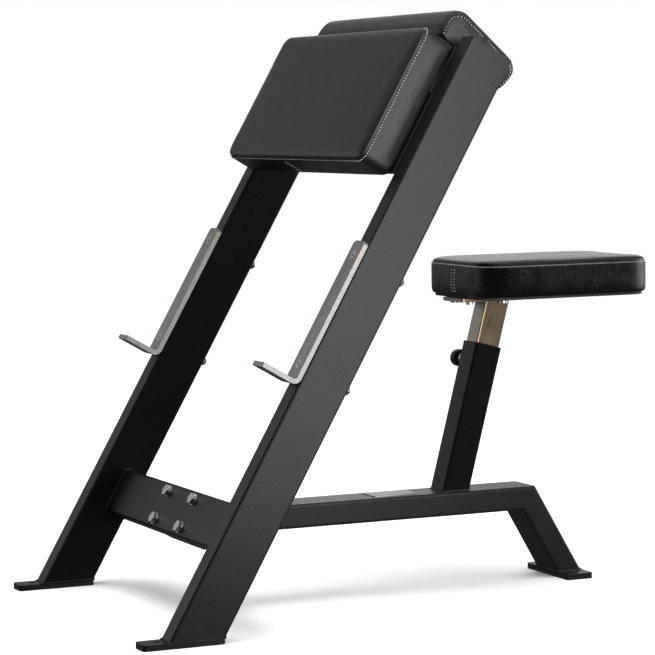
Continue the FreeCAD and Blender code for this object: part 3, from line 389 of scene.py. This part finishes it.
def mesh_from(bm, name, place=None):
    """A mesh of what has been built, moved to its place."""
    mesh = bpy.data.meshes.new(name)
    bm.to_mesh(mesh)
    bm.free()
    if place:
        mesh.transform(place)
    return mesh


def evaluated_mesh(obj):
    """A mesh of an object as its modifiers leave it."""
    graph = bpy.context.evaluated_depsgraph_get()
    return bpy.data.meshes.new_from_object(obj.evaluated_get(graph), depsgraph=graph)


def block(centre, size):
    """A box as the start of a shape."""
    bm = bmesh.new()
    bmesh.ops.create_cube(bm, size=1, matrix=Matrix.Translation(centre) @ Matrix.Diagonal((*size, 1)))
    return bm


def round_edges(bm, edges, radius, steps, clamp=False):
    """Rounds some edges in a number of steps."""
    bmesh.ops.bevel(bm, geom=edges, offset=radius, offset_type="OFFSET", affect="EDGES", segments=steps,
                    profile=0.5, material=-1, clamp_overlap=clamp)


def mark_sharp(bm, angle):
    """Shades edges as smooth where their faces meet at less than an angle."""
    for edge in bm.edges:
        edge.smooth = edge.is_manifold and edge.calc_face_angle() < angle


# Edges and welds

FLAT = math.radians(0.4)
SHARP = math.radians(20)
PLATE_SHARP = math.radians(30)
CORNER = math.radians(35)
SAME_POINT = 0.005 * MM
SAME_LEVEL = 0.01 * MM
RIM_REACH = 0.6 * MM
RIPPLE = 1.1 * MM
RIPPLE_DEPTH = 0.16
BEAD_FULLNESS = 0.9
BEAD_WANDER = 0.12
WANDER_SIZE = 6 * MM
FOOT_BEAD = 2.4 * MM
SPINE_BEAD = 2.2 * MM
POST_BEAD = 1.6 * MM
BEAD_ROOM = 3 * MM


def soften(node, width):
    """A copy of a CAD node with its sharp edges broken, which stands for the node."""
    bm = bmesh.new()
    bm.from_mesh(NODES[node].data)
    bmesh.ops.remove_doubles(bm, verts=bm.verts, dist=SAME_POINT)
    bmesh.ops.dissolve_limit(bm, angle_limit=FLAT, verts=bm.verts, edges=bm.edges)
    corners = [e for e in bm.edges if e.is_manifold and e.calc_face_angle() > CORNER]
    round_edges(bm, corners, width, 2, clamp=True)
    bmesh.ops.recalc_face_normals(bm, faces=bm.faces)
    mark_sharp(bm, SHARP)
    solid = NODES[node]
    piece = add_piece(node + "_softened", mesh_from(bm, node), solid.data.materials[0], solid["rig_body"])
    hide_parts(node)


SOFTENED = {
    "bar_rest_left": 0.8 * MM, "bar_rest_right": 0.8 * MM, "foot_plate_left": 0.8 * MM,
    "foot_plate_right": 0.8 * MM, "foot_plate_rear": 0.8 * MM, "spine_end_plate": 0.8 * MM,
    "seat_plate": 0.6 * MM,
}


def rim(node, point, normal):
    """Corner points, in order, of a node's outer edge in a plane."""
    normal = normal.normalized()
    first = normal.orthogonal().normalized()
    second = normal.cross(first)
    near = [v.co for v in NODES[node].data.vertices if abs((v.co - point).dot(normal)) < RIM_REACH]
    flat = [((p - point).dot(first), (p - point).dot(second)) for p in near]
    return [near[k].copy() for k in geometry.convex_hull_2d(flat)]


def evenly(points, spacing):
    """Points at an even spacing along a closed line."""
    spots = []
    for here, after in zip(points, points[1:] + points[:1]):
        count = max(round((after - here).length / spacing), 1)
        spots += [here.lerp(after, k / count) for k in range(count)]
    return spots


def weld(name, points, size, finish, body="frame"):
    """A rippled bead round a closed line."""
    line = bpy.data.curves.new(name, "CURVE")
    line.dimensions = "3D"
    line.bevel_depth = size
    line.bevel_resolution = 2
    spline = line.splines.new("POLY")
    spots = evenly(points, RIPPLE)
    spline.points.add(len(spots) - 1)
    for k, (point, spot) in enumerate(zip(spline.points, spots)):
        point.co = (*spot, 1)
        wave = RIPPLE_DEPTH * math.sin(k * math.pi / 2)
        point.radius = BEAD_FULLNESS + wave + BEAD_WANDER * noise.noise(spot / WANDER_SIZE)
    spline.use_cyclic_u = True
    holder = bpy.data.objects.new(name, line)
    bpy.context.scene.collection.objects.link(holder)
    bpy.context.view_layer.update()
    mesh = evaluated_mesh(holder)
    bpy.data.objects.remove(holder)
    add_piece(name, mesh, finish, body)


def make_welds():
    """Beads where the tubes meet their plates and each other."""
    upright_front = Vector((0, math.sin(UPRIGHT_LEAN), -math.cos(UPRIGHT_LEAN)))
    foot_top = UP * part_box("foot_plate_left")[1].z
    outermost = CAD_BOX[1][0] - BEAD_ROOM
    for side in ("left", "right"):
        edge = [Vector((min(max(p.x, -outermost), outermost), p.y, p.z))
                for p in rim(f"upright_{side}", foot_top, UP)]
        weld(f"foot_weld_{side}", edge, FOOT_BEAD, COAT)
    weld("rear_foot_weld", rim("rear_leg", foot_top, UP), FOOT_BEAD, COAT)
    for side, end in zip(("left", "right"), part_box("cross_tube")):
        weld(f"cross_weld_{side}", rim("cross_tube", end, ACROSS), FOOT_BEAD, COAT)
    weld("sleeve_weld", rim("seat_sleeve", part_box("spine_beam")[1], UP), SPINE_BEAD, COAT)
    corners = [v.co for v in NODES["spine_beam"].data.vertices]
    front_corner = min(corners, key=lambda p: p.dot(upright_front))
    weld("beam_weld", rim("spine_beam", front_corner.copy(), upright_front), SPINE_BEAD, COAT)
    weld("post_weld", rim("seat_post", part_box("seat_plate")[0], UP), POST_BEAD, POST_STEEL, "seat")


PLATE_HALF_WIDTH = 25 * MM
PLATE_FRONT = 16 * MM
PLATE_REAR = 97 * MM
PLATE_THICK = 1.6 * MM
PLATE_CORNER = 3 * MM
PLATE_EDGE = 0.4 * MM
RIVET_SIZE = 2.2 * MM
RIVET_INSET = 6 * MM
RIVET_FLATNESS = 0.5


def make_bare_plate():
    """Small bare plate with four rivets on the spine, in front of the sleeve."""
    beam_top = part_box("spine_beam")[1].z
    low = Vector((-PLATE_HALF_WIDTH, PLATE_FRONT, beam_top))
    high = Vector((PLATE_HALF_WIDTH, PLATE_REAR, beam_top + PLATE_THICK))
    bm = block((low + high) / 2, high - low)
    corners = [e for e in bm.edges if abs((e.verts[0].co - e.verts[1].co).normalized().z) > 0.9]
    round_edges(bm, corners, PLATE_CORNER, 4)
    top = [e for e in bm.edges if all(v.co.z > high.z - SAME_LEVEL for v in e.verts)]
    round_edges(bm, top, PLATE_EDGE, 2)
    for x in (low.x + RIVET_INSET, high.x - RIVET_INSET):
        for y in (low.y + RIVET_INSET, high.y - RIVET_INSET):
            dome = Matrix.Translation((x, y, high.z)) @ Matrix.Diagonal((1, 1, RIVET_FLATNESS, 1))
            bmesh.ops.create_uvsphere(bm, u_segments=16, v_segments=8, radius=RIVET_SIZE, matrix=dome)
    mark_sharp(bm, PLATE_SHARP)
    add_piece("spine_plate", mesh_from(bm, "spine_plate"), PLATE_METAL, "frame")


def make_plunger_coil():
    """The plunger's spring, a zinc copy riding on the frame; its length stays as it is when the pin is
    pulled.
    """
    fixed_end, free_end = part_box("plunger_spring")
    coil = add_piece("plunger_coil", NODES["plunger_spring"].data.copy(), ZINC, "frame")
    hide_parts("plunger_spring")
    travel = next(joint["range_m"][1] for joint in frame["joints"] if joint["name"] == "pin_pull")
    1 - travel / (free_end.x - fixed_end.x)
    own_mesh(coil)


# Cushions: blown up by cloth in their own axes, X across, Y along, Z out of the face

VOXEL = 4.5 * MM
STITCH_PITCH = 5.2 * MM
STITCH_LENGTH = 2.3 * MM
STITCH_WIDTH = 1.8 * MM
STITCH_OFF_SEAM = 2.8 * MM
SEAM_PITCH = 1.2 * MM
SEAM_WIDTH = 2.2 * MM
STITCH_LIFT = 0.2
DOME_EDGE = 3
DOME_FULLNESS = 0.6
HEM_GAP = 1 * MM
JOIN_DEPTH = 0.7
GATHER_DROP = 9 * MM
GATHER_REACH = 8 * MM
GATHER_WAVE = 21 * MM
GATHER_DEPTH = 0.18 * MM
GATHER_UNEVEN = 45 * MM
GATHER_SHIFT = 30 * MM
PANEL_BEND = 16 * MM
PANEL_DROP = 12 * MM
PANEL_INSET = 4 * MM
QUARTER_STEPS = 8
SMOOTHING_TURNS = 4
COVER_REACH = 40 * MM
BOARD_PLAY = 0.4 * MM
CLOTH_FRAMES = 20
CLOTH = {
    "quality": 6, "mass": 0.3, "tension_stiffness": 20, "compression_stiffness": 20,
    "bending_stiffness": 2, "use_pressure": True, "uniform_pressure_force": 4,
}


class Cushion:
    """A cushion in its own axes: the box of its CAD solid, its form, and the cover's details."""

    def __init__(self, node, out, corner, roll, hem, crown, bulge=0.0, lip=0.0):
        self.node, self.corner, self.roll, self.hem = node, corner, roll, hem
        self.crown, self.bulge = crown, bulge
        self.body = NODES[node]["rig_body"]
        self.turn = Matrix((ACROSS, out.cross(ACROSS), out)).transposed().to_4x4()
        back = self.turn.inverted()
        spots = [back @ v.co for v in NODES[node].data.vertices]
        self.low = Vector([min(p[k] for p in spots) for k in range(3)])
        self.high = Vector([max(p[k] for p in spots) for k in range(3)])
        self.low.z -= lip
        self.middle = (self.low + self.high) / 2

    def form(self, shrink):
        """A block with round corners and a rolled upper edge, a little smaller than the solid."""
        size = self.high - self.low - Vector((2 * shrink, 2 * shrink, shrink + self.crown))
        centre = Vector((self.middle.x, self.middle.y, self.low.z + size.z / 2))
        bm = block(centre, size)
        corners = [e for e in bm.edges if abs((e.verts[0].co - e.verts[1].co).z) > size.z / 2]
        round_edges(bm, corners, self.corner - shrink, 14)
        for level, radius, steps in ((centre.z + size.z / 2, self.roll, 6), (self.low.z, self.hem, 4)):
            edges = [e for e in bm.edges if all(abs(v.co.z - level) < SAME_LEVEL for v in e.verts)]
            round_edges(bm, edges, radius, steps)
        return mesh_from(bm, self.node + "_form")

    def bow(self, z):
        """How far the long sides stand out at a height."""
        height = (z - self.low.z) / (self.high.z - self.low.z)
        return self.bulge * max(4 * height * (1 - height), 0)

    def fill_out(self, mesh):
        """Crowns the face and bows the long sides."""
        half = (self.high - self.low) / 2
        facing = [v.normal.y for v in mesh.vertices]
        for vertex, side in zip(mesh.vertices, facing):
            u, v = ((vertex.co[k] - self.middle[k]) / half[k] for k in (0, 1))
            height = (vertex.co.z - self.low.z) / (2 * half.z - self.crown)
            dome = math.prod(max(1 - abs(k) ** DOME_EDGE, 0) ** DOME_FULLNESS for k in (u, v))
            vertex.co.y += side * self.bow(vertex.co.z)
            vertex.co.z += self.crown * dome * max(height, 0) ** 2

    def swell(self, shrink, cap, held):
        """Remeshes the form and blows it up by cloth pressure; the back stays flat."""
        pad = bpy.data.objects.new(self.node + "_cloth", self.form(shrink))
        bpy.context.scene.collection.objects.link(pad)
        remesh = pad.modifiers.new("even_mesh", "REMESH")
        remesh.mode = "VOXEL"
        remesh.voxel_size = VOXEL
        pad.data = evaluated_mesh(pad)
        pad.modifiers.clear()
        self.fill_out(pad.data)
        start = [(v.co.copy(), v.normal.copy()) for v in pad.data.vertices]
        inflate(pad, self.low.z + held)
        for vertex, (rest, normal) in zip(pad.data.vertices, start):
            vertex.co = rest + normal * min(max((vertex.co - rest).dot(normal), -0.1 * cap), cap)
        self.bm = bmesh.new()
        self.bm.from_mesh(pad.data)
        bpy.data.objects.remove(pad)
        free = [v for v in self.bm.verts if v.co.z > self.low.z + VOXEL]
        for turn_of_smoothing in range(SMOOTHING_TURNS):
            bmesh.ops.smooth_vert(self.bm, verts=free, factor=0.5, use_axis_x=True, use_axis_y=True,
                                  use_axis_z=True)
        bmesh.ops.subdivide_edges(self.bm, edges=self.bm.edges, cuts=1, use_grid_fill=True, smooth=0.5)
        self.bm.normal_update()

    def on_cover(self, path):
        """Where a path of points and outward directions meets the cover, with the normals there."""
        tree = BVHTree.FromBMesh(self.bm)
        hits = [tree.ray_cast(point + outward * COVER_REACH, -outward, 2 * COVER_REACH)[:2]
                for point, outward in path]
        return [hit for hit in hits if hit[0]]

    def press(self, path, depth):
        """Draws the cover in along a seam."""
        spots = self.on_cover(path)
        tree = KDTree(len(spots))
        for k, (spot, normal) in enumerate(spots):
            tree.insert(spot, k)
        tree.balance()
        for vertex in self.bm.verts:
            off = tree.find(vertex.co)[2]
            vertex.co -= vertex.normal * depth * math.exp(-(off / SEAM_WIDTH) ** 2)
        self.bm.normal_update()

    def pucker(self, level):
        """Shallow gathers that the stitching leaves in the cover beside a seam."""
        for vertex in self.bm.verts:
            off = vertex.co.z - level
            if abs(off) < 3 * GATHER_REACH:
                shift = 3 * noise.noise(vertex.co / GATHER_SHIFT)
                gather = math.sin(2 * math.pi * (vertex.co.x + vertex.co.y) / GATHER_WAVE + shift)
                uneven = 0.5 + noise.noise(vertex.co / GATHER_UNEVEN)
                fade = math.exp(-(off / GATHER_REACH) ** 2)
                vertex.co += vertex.normal * GATHER_DEPTH * gather * uneven * fade

    def outline(self, level, corner, pitch):
        """Points and outward directions round the cushion's sides at a level."""
        half = [(self.high[k] - self.low[k]) / 2 - corner for k in (0, 1)]
        bend = max(round(corner * math.pi / 2 / pitch), 1)
        for k in range(4):
            facing = k * math.pi / 2
            ahead = Vector((math.cos(facing), math.sin(facing), 0))
            aside = Vector((-ahead.y, ahead.x, 0))
            run = abs(half[0] * aside.x) + abs(half[1] * aside.y)
            reach = abs(half[0] * ahead.x) + abs(half[1] * ahead.y)
            straight = max(round(2 * run / pitch), 1)
            base = Vector((self.middle.x, self.middle.y, level))
            for i in range(straight):
                yield base + ahead * (reach + corner) + aside * run * (2 * i / straight - 1), ahead
            knee = base + ahead * reach + aside * run
            for i in range(bend):
                swing = facing + i / bend * math.pi / 2
                outward = Vector((math.cos(swing), math.sin(swing), 0))
                yield knee + corner * outward, outward

    def rising(self, x, top, pitch):
        """Points up the front side of the cushion at a place across it, with the way out."""
        bottom = self.low.z + self.hem + HEM_GAP
        count = round((top - bottom) / pitch)
        return [(Vector((x, self.low.y, bottom + (top - bottom) * k / count)), Vector((0, -1, 0)))
                for k in range(count)]

    def end_panel(self, side, inset, pitch):
        """Points round an end panel, up one long side, along the face and down the other."""
        bend = PANEL_BEND
        bottom = self.low.z + self.hem + HEM_GAP
        top = self.high.z - PANEL_DROP - inset
        near, far = self.low.y + PANEL_INSET + inset, self.high.y - PANEL_INSET - inset
        lines = [(Vector((near, bottom)), Vector((near, top - bend)))]
        swings = [k * math.pi / 2 / QUARTER_STEPS for k in range(QUARTER_STEPS + 1)]
        arc = [Vector((near + bend - bend * math.cos(s), top - bend + bend * math.sin(s))) for s in swings]
        lines += zip(arc, arc[1:])
        lines.append((Vector((near + bend, top)), Vector((far - bend, top))))
        arc = [Vector((far - bend + bend * math.sin(s), top - bend + bend * math.cos(s))) for s in swings]
        lines += zip(arc, arc[1:])
        lines.append((Vector((far, top - bend)), Vector((far, bottom))))
        points = []
        spare = 0.0
        for start, end in lines:
            length = (end - start).length
            while spare < length:
                y, z = start.lerp(end, spare / length)
                y += self.bow(z) if y > self.middle.y else -self.bow(z)
                points.append((Vector((side * self.high.x, y, z)), ACROSS * side))
                spare += pitch
            spare -= length
        return points

    def sew(self, name, path):
        """A row of stitches along points of a path on the cover."""
        spots = self.on_cover(path)
        bm = bmesh.new()
        for (spot, normal), (after, next_normal) in zip(spots, spots[1:] + spots[:1]):
            if (after - spot).length > 2 * STITCH_PITCH:
                continue
            along = (after - spot).normalized()
            lift = (normal - along * normal.dot(along)).normalized()
            axes = Matrix((along, lift.cross(along), lift)).transposed().to_4x4()
            size = Matrix.Diagonal((STITCH_LENGTH / 2, STITCH_WIDTH / 2, STITCH_WIDTH / 2, 1))
            place = Matrix.Translation(spot + lift * STITCH_WIDTH * STITCH_LIFT)
            bmesh.ops.create_uvsphere(bm, u_segments=6, v_segments=5, radius=1, matrix=place @ axes @ size)
        add_piece(name, mesh_from(bm, name, self.turn), THREAD, self.body)

    def carve(self, board):
        """Cuts the room for a board into the cushion's back."""
        room = bmesh.new()
        room.from_mesh(NODES[board].data)
        room.transform(self.turn.inverted())
        hull = bmesh.ops.convex_hull(room, input=room.verts)
        inside = [g for g in hull["geom_interior"] + hull["geom_unused"]
                  if isinstance(g, bmesh.types.BMVert)]
        bmesh.ops.delete(room, geom=inside, context="VERTS")
        bmesh.ops.recalc_face_normals(room, faces=room.faces)
        room.normal_update()
        for vertex in room.verts:
            vertex.co += vertex.normal * BOARD_PLAY
        holders = [bpy.data.objects.new("carving", mesh_from(bm, "carving")) for bm in (self.bm, room)]
        for holder in holders:
            bpy.context.scene.collection.objects.link(holder)
        cut = holders[0].modifiers.new("room", "BOOLEAN")
        cut.object = holders[1]
        cut.operation = "DIFFERENCE"
        cut.solver = "EXACT"
        self.bm = bmesh.new()
        self.bm.from_mesh(evaluated_mesh(holders[0]))
        for holder in holders:
            bpy.data.objects.remove(holder)

    def place(self, name, cover):
        """The finished cushion as a piece that stands for its CAD solid."""
        bmesh.ops.recalc_face_normals(self.bm, faces=self.bm.faces)
        pad = add_piece(name, mesh_from(self.bm, name, self.turn), cover, self.body)
        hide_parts(self.node)


def inflate(pad, held_level):
    """Runs cloth under pressure; what lies below the held level is pinned."""
    pins = pad.vertex_groups.new(name="held")
    pins.add([v.index for v in pad.data.vertices if v.co.z < held_level], 1.0, "REPLACE")
    cloth = pad.modifiers.new("swell", "CLOTH")
    for setting, given in CLOTH.items():
        setattr(cloth.settings, setting, given)
    cloth.settings.effector_weights.gravity = 0
    cloth.settings.vertex_group_mass = pins.name
    scene = bpy.context.scene
    for step in range(1, CLOTH_FRAMES + 1):
        scene.frame_set(step)
    pad.data = evaluated_mesh(pad)
    pad.modifiers.clear()
    scene.frame_set(1)


def sew_box(pad, name, seam, seam_depth, join, row_gap):
    """The seam round a cushion's sides, the upright join in front, and their stitching."""
    pad.press(pad.outline(seam, pad.corner, SEAM_PITCH), seam_depth)
    pad.press(pad.rising(join, seam, SEAM_PITCH), JOIN_DEPTH * seam_depth)
    pad.pucker(seam - GATHER_DROP)
    pad.sew(f"{name}_stitching", pad.outline(seam - STITCH_OFF_SEAM, pad.corner, STITCH_PITCH))
    for side, place in (("left", join - row_gap), ("right", join + row_gap)):
        pad.sew(f"{name}_join_{side}", pad.rising(place, seam - HEM_GAP, STITCH_PITCH))


def make_arm_pad():
    """Arm cushion: the face rolls over the edge to a stitched seam round the boxed sides."""
    out = Vector((0, -math.sin(UPRIGHT_LEAN), math.cos(UPRIGHT_LEAN)))
    pad = Cushion("arm_pad", out, corner=20 * MM, roll=7 * MM, hem=6 * MM, crown=3 * MM)
    pad.swell(shrink=1 * MM, cap=1.5 * MM, held=14 * MM)
    sew_box(pad, "arm_pad", seam=pad.high.z - 9.5 * MM, seam_depth=1.4 * MM, join=-45 * MM, row_gap=4 * MM)
    pad.carve("arm_board")
    pad.place("arm_cushion", vinyl("arm_pad_vinyl", (-UPRIGHT_LEAN, 0, 0), tone=0.0065, rough=0.34))


def make_chest_pad():
    """Chest cushion: one cover over crest and face, with stitched end panels."""
    out = Vector((0, math.sin(CHEST_SLOPE), math.cos(CHEST_SLOPE)))
    pad = Cushion("chest_pad", out, corner=16 * MM, roll=13 * MM, hem=6 * MM, crown=4 * MM, bulge=8 * MM)
    pad.swell(shrink=0.2 * MM, cap=3 * MM, held=12 * MM)
    for name, side in (("left", -1), ("right", 1)):
        pad.press(pad.end_panel(side, 0, SEAM_PITCH), depth=1.6 * MM)
        pad.sew(f"chest_pad_stitching_{name}", pad.end_panel(side, STITCH_OFF_SEAM, STITCH_PITCH))
    pad.carve("chest_board")
    pad.place("chest_cushion", vinyl("chest_pad_vinyl", (CHEST_SLOPE, 0, 0), tone=0.0065, rough=0.34))


def make_seat_pad():
    """Seat cushion: a face panel over a boxed side, with its lower edge drawn round the board."""
    pad = Cushion("seat_pad", UP, corner=48 * MM, roll=8 * MM, hem=7 * MM, crown=3 * MM, lip=5 * MM)
    pad.swell(shrink=1 * MM, cap=1 * MM, held=10 * MM)
    sew_box(pad, "seat_pad", seam=pad.high.z - 9 * MM, seam_depth=1.0 * MM, join=2 * MM, row_gap=5 * MM)
    pad.carve("seat_board")
    pad.place("seat_cushion", vinyl("seat_pad_vinyl", (0, 0, 0), tone=0.004, rough=0.28))


# Stage, light and camera

FLOOR_RADIUS = 40
FLOOR_SUN = 3.6
FLOOR_SUN_ANGLE = math.radians(60)
ROOM_LIGHT = 0.09
BACKDROP_LIGHT = 1.0
SENSOR_WIDTH = 36
VIEW_DEPTH = 200

# Soft boxes: name, place, aim, size, radiance
SOFT_LIGHTS = [
    ("near_panel", (0.95, 0.08, 0.8), (0.3, 0.08, 0.8), (0.8, 1.45), 3.2),
    ("far_wall", (-3.5, -0.4, 1.5), (0, 0, 0.6), (5.0, 2.4), 0.26),
    ("far_panel", (-2.6, 1.45, 1.15), (0, 0.2, 0.6), (1.7, 1.5), 1.0),
    ("back_panel", (0.4, 2.8, 1.0), (0, 0, 0.6), (3.0, 1.8), 2.3),
    ("front_panel", (-2.0, -2.6, 0.95), (0, 0, 0.6), (2.4, 1.7), 0.8),
    ("overhead", (0, 0.2, 2.7), (0, 0.2, 0), (5.0, 3.0), 0.8),
]


def make_floor():
    """A wide pale floor under its own even light; it casts no light back on the bench."""
    bm = bmesh.new()
    bmesh.ops.create_circle(bm, cap_ends=True, segments=96, radius=FLOOR_RADIUS)
    floor = bpy.data.objects.new("studio_floor", mesh_from(bm, "studio_floor"))
    floor.data.materials.append(studio_floor())
    floor.visible_diffuse = False
    floor.visible_glossy = False
    stage = bpy.data.collections.new("stage")
    bpy.context.scene.collection.children.link(stage)
    stage.objects.link(floor)
    sun = bpy.data.lights.new("floor_light", "SUN")
    sun.energy = FLOOR_SUN
    sun.angle = FLOOR_SUN_ANGLE
    light = bpy.data.objects.new("floor_light", sun)
    light.light_linking.receiver_collection = stage
    bpy.context.scene.collection.objects.link(light)


def soft_light(name, place, aim, size, radiance):
    """A rectangular soft box that the camera doesn't see."""
    lamp = bpy.data.lights.new(name, "AREA")
    lamp.shape = "RECTANGLE"
    lamp.size, lamp.size_y = size
    lamp.energy = radiance * math.pi * size[0] * size[1]
    light = bpy.data.objects.new(name, lamp)
    light.location = place
    light.rotation_euler = (Vector(aim) - Vector(place)).to_track_quat("-Z", "Y").to_euler()
    light.visible_camera = False
    bpy.context.scene.collection.objects.link(light)
    return light


def shade(light, shaded):
    """Keeps a light off some objects, as a flag on a stand would."""
    flag = bpy.data.collections.new(light.name + "_flag")
    for obj in shaded:
        flag.objects.link(obj)
    for member in flag.collection_objects:
        member.light_linking.link_state = "EXCLUDE"
    light.light_linking.receiver_collection = flag


def make_lights():
    """Soft boxes round the bench and above it, the brightest close to the near upright."""
    lights = {row[0]: soft_light(*row) for row in SOFT_LIGHTS}
    shade(lights["near_panel"], [NODES["upright_left"], NODES["seat_sleeve"], NODES["pull_knob"],
                                 bpy.data.objects["seat_cushion"]])
    make_world()


def make_world():
    """Dim room light, with a white backdrop where nothing stands in front of it."""
    world = bpy.data.worlds.new("studio")
    world.use_nodes = True
    tree = world.node_tree
    room = tree.nodes["Background"]
    backdrop = tree.nodes.new("ShaderNodeBackground")
    for node, strength in ((room, ROOM_LIGHT), (backdrop, BACKDROP_LIGHT)):
        node.inputs["Color"].default_value = (1, 1, 1, 1)
        node.inputs["Strength"].default_value = strength
    seen = tree.nodes.new("ShaderNodeLightPath")
    mixed = tree.nodes.new("ShaderNodeMixShader")
    tree.links.new(seen.outputs["Is Camera Ray"], mixed.inputs[0])
    tree.links.new(room.outputs[0], mixed.inputs[1])
    tree.links.new(backdrop.outputs[0], mixed.inputs[2])
    tree.links.new(mixed.outputs[0], tree.nodes["World Output"].inputs[0])
    bpy.context.scene.world = world


def make_camera():
    """The photograph's camera."""
    aim = CAMERA_AIM.normalized()
    level_right = aim.cross(UP).normalized()
    level_up = level_right.cross(aim)
    right = level_right * math.cos(CAMERA_ROLL) + level_up * math.sin(CAMERA_ROLL)
    up = right.cross(aim)
    lens = bpy.data.cameras.new("photo_camera")
    lens.sensor_width = SENSOR_WIDTH
    lens.lens = FOCAL_PIXELS / IMAGE_SIDE * SENSOR_WIDTH
    lens.shift_y = (OPTICAL_AXIS_ROW - IMAGE_SIDE / 2) / IMAGE_SIDE
    lens.clip_end = VIEW_DEPTH
    camera = bpy.data.objects.new("photo_camera", lens)
    axes = Matrix((right, up, -aim)).transposed().to_4x4()
    camera.matrix_world = Matrix.Translation(CAMERA_PLACE) @ axes
    bpy.context.scene.collection.objects.link(camera)
    bpy.context.scene.camera = camera


dress_frame()
for piece_name, edge_width in SOFTENED.items():
    soften(piece_name, edge_width)
make_welds()
make_bare_plate()
make_plunger_coil()
make_arm_pad()
make_chest_pad()
make_seat_pad()
make_floor()
make_lights()
make_camera()
bpy.context.scene.view_settings.view_transform = "Standard"
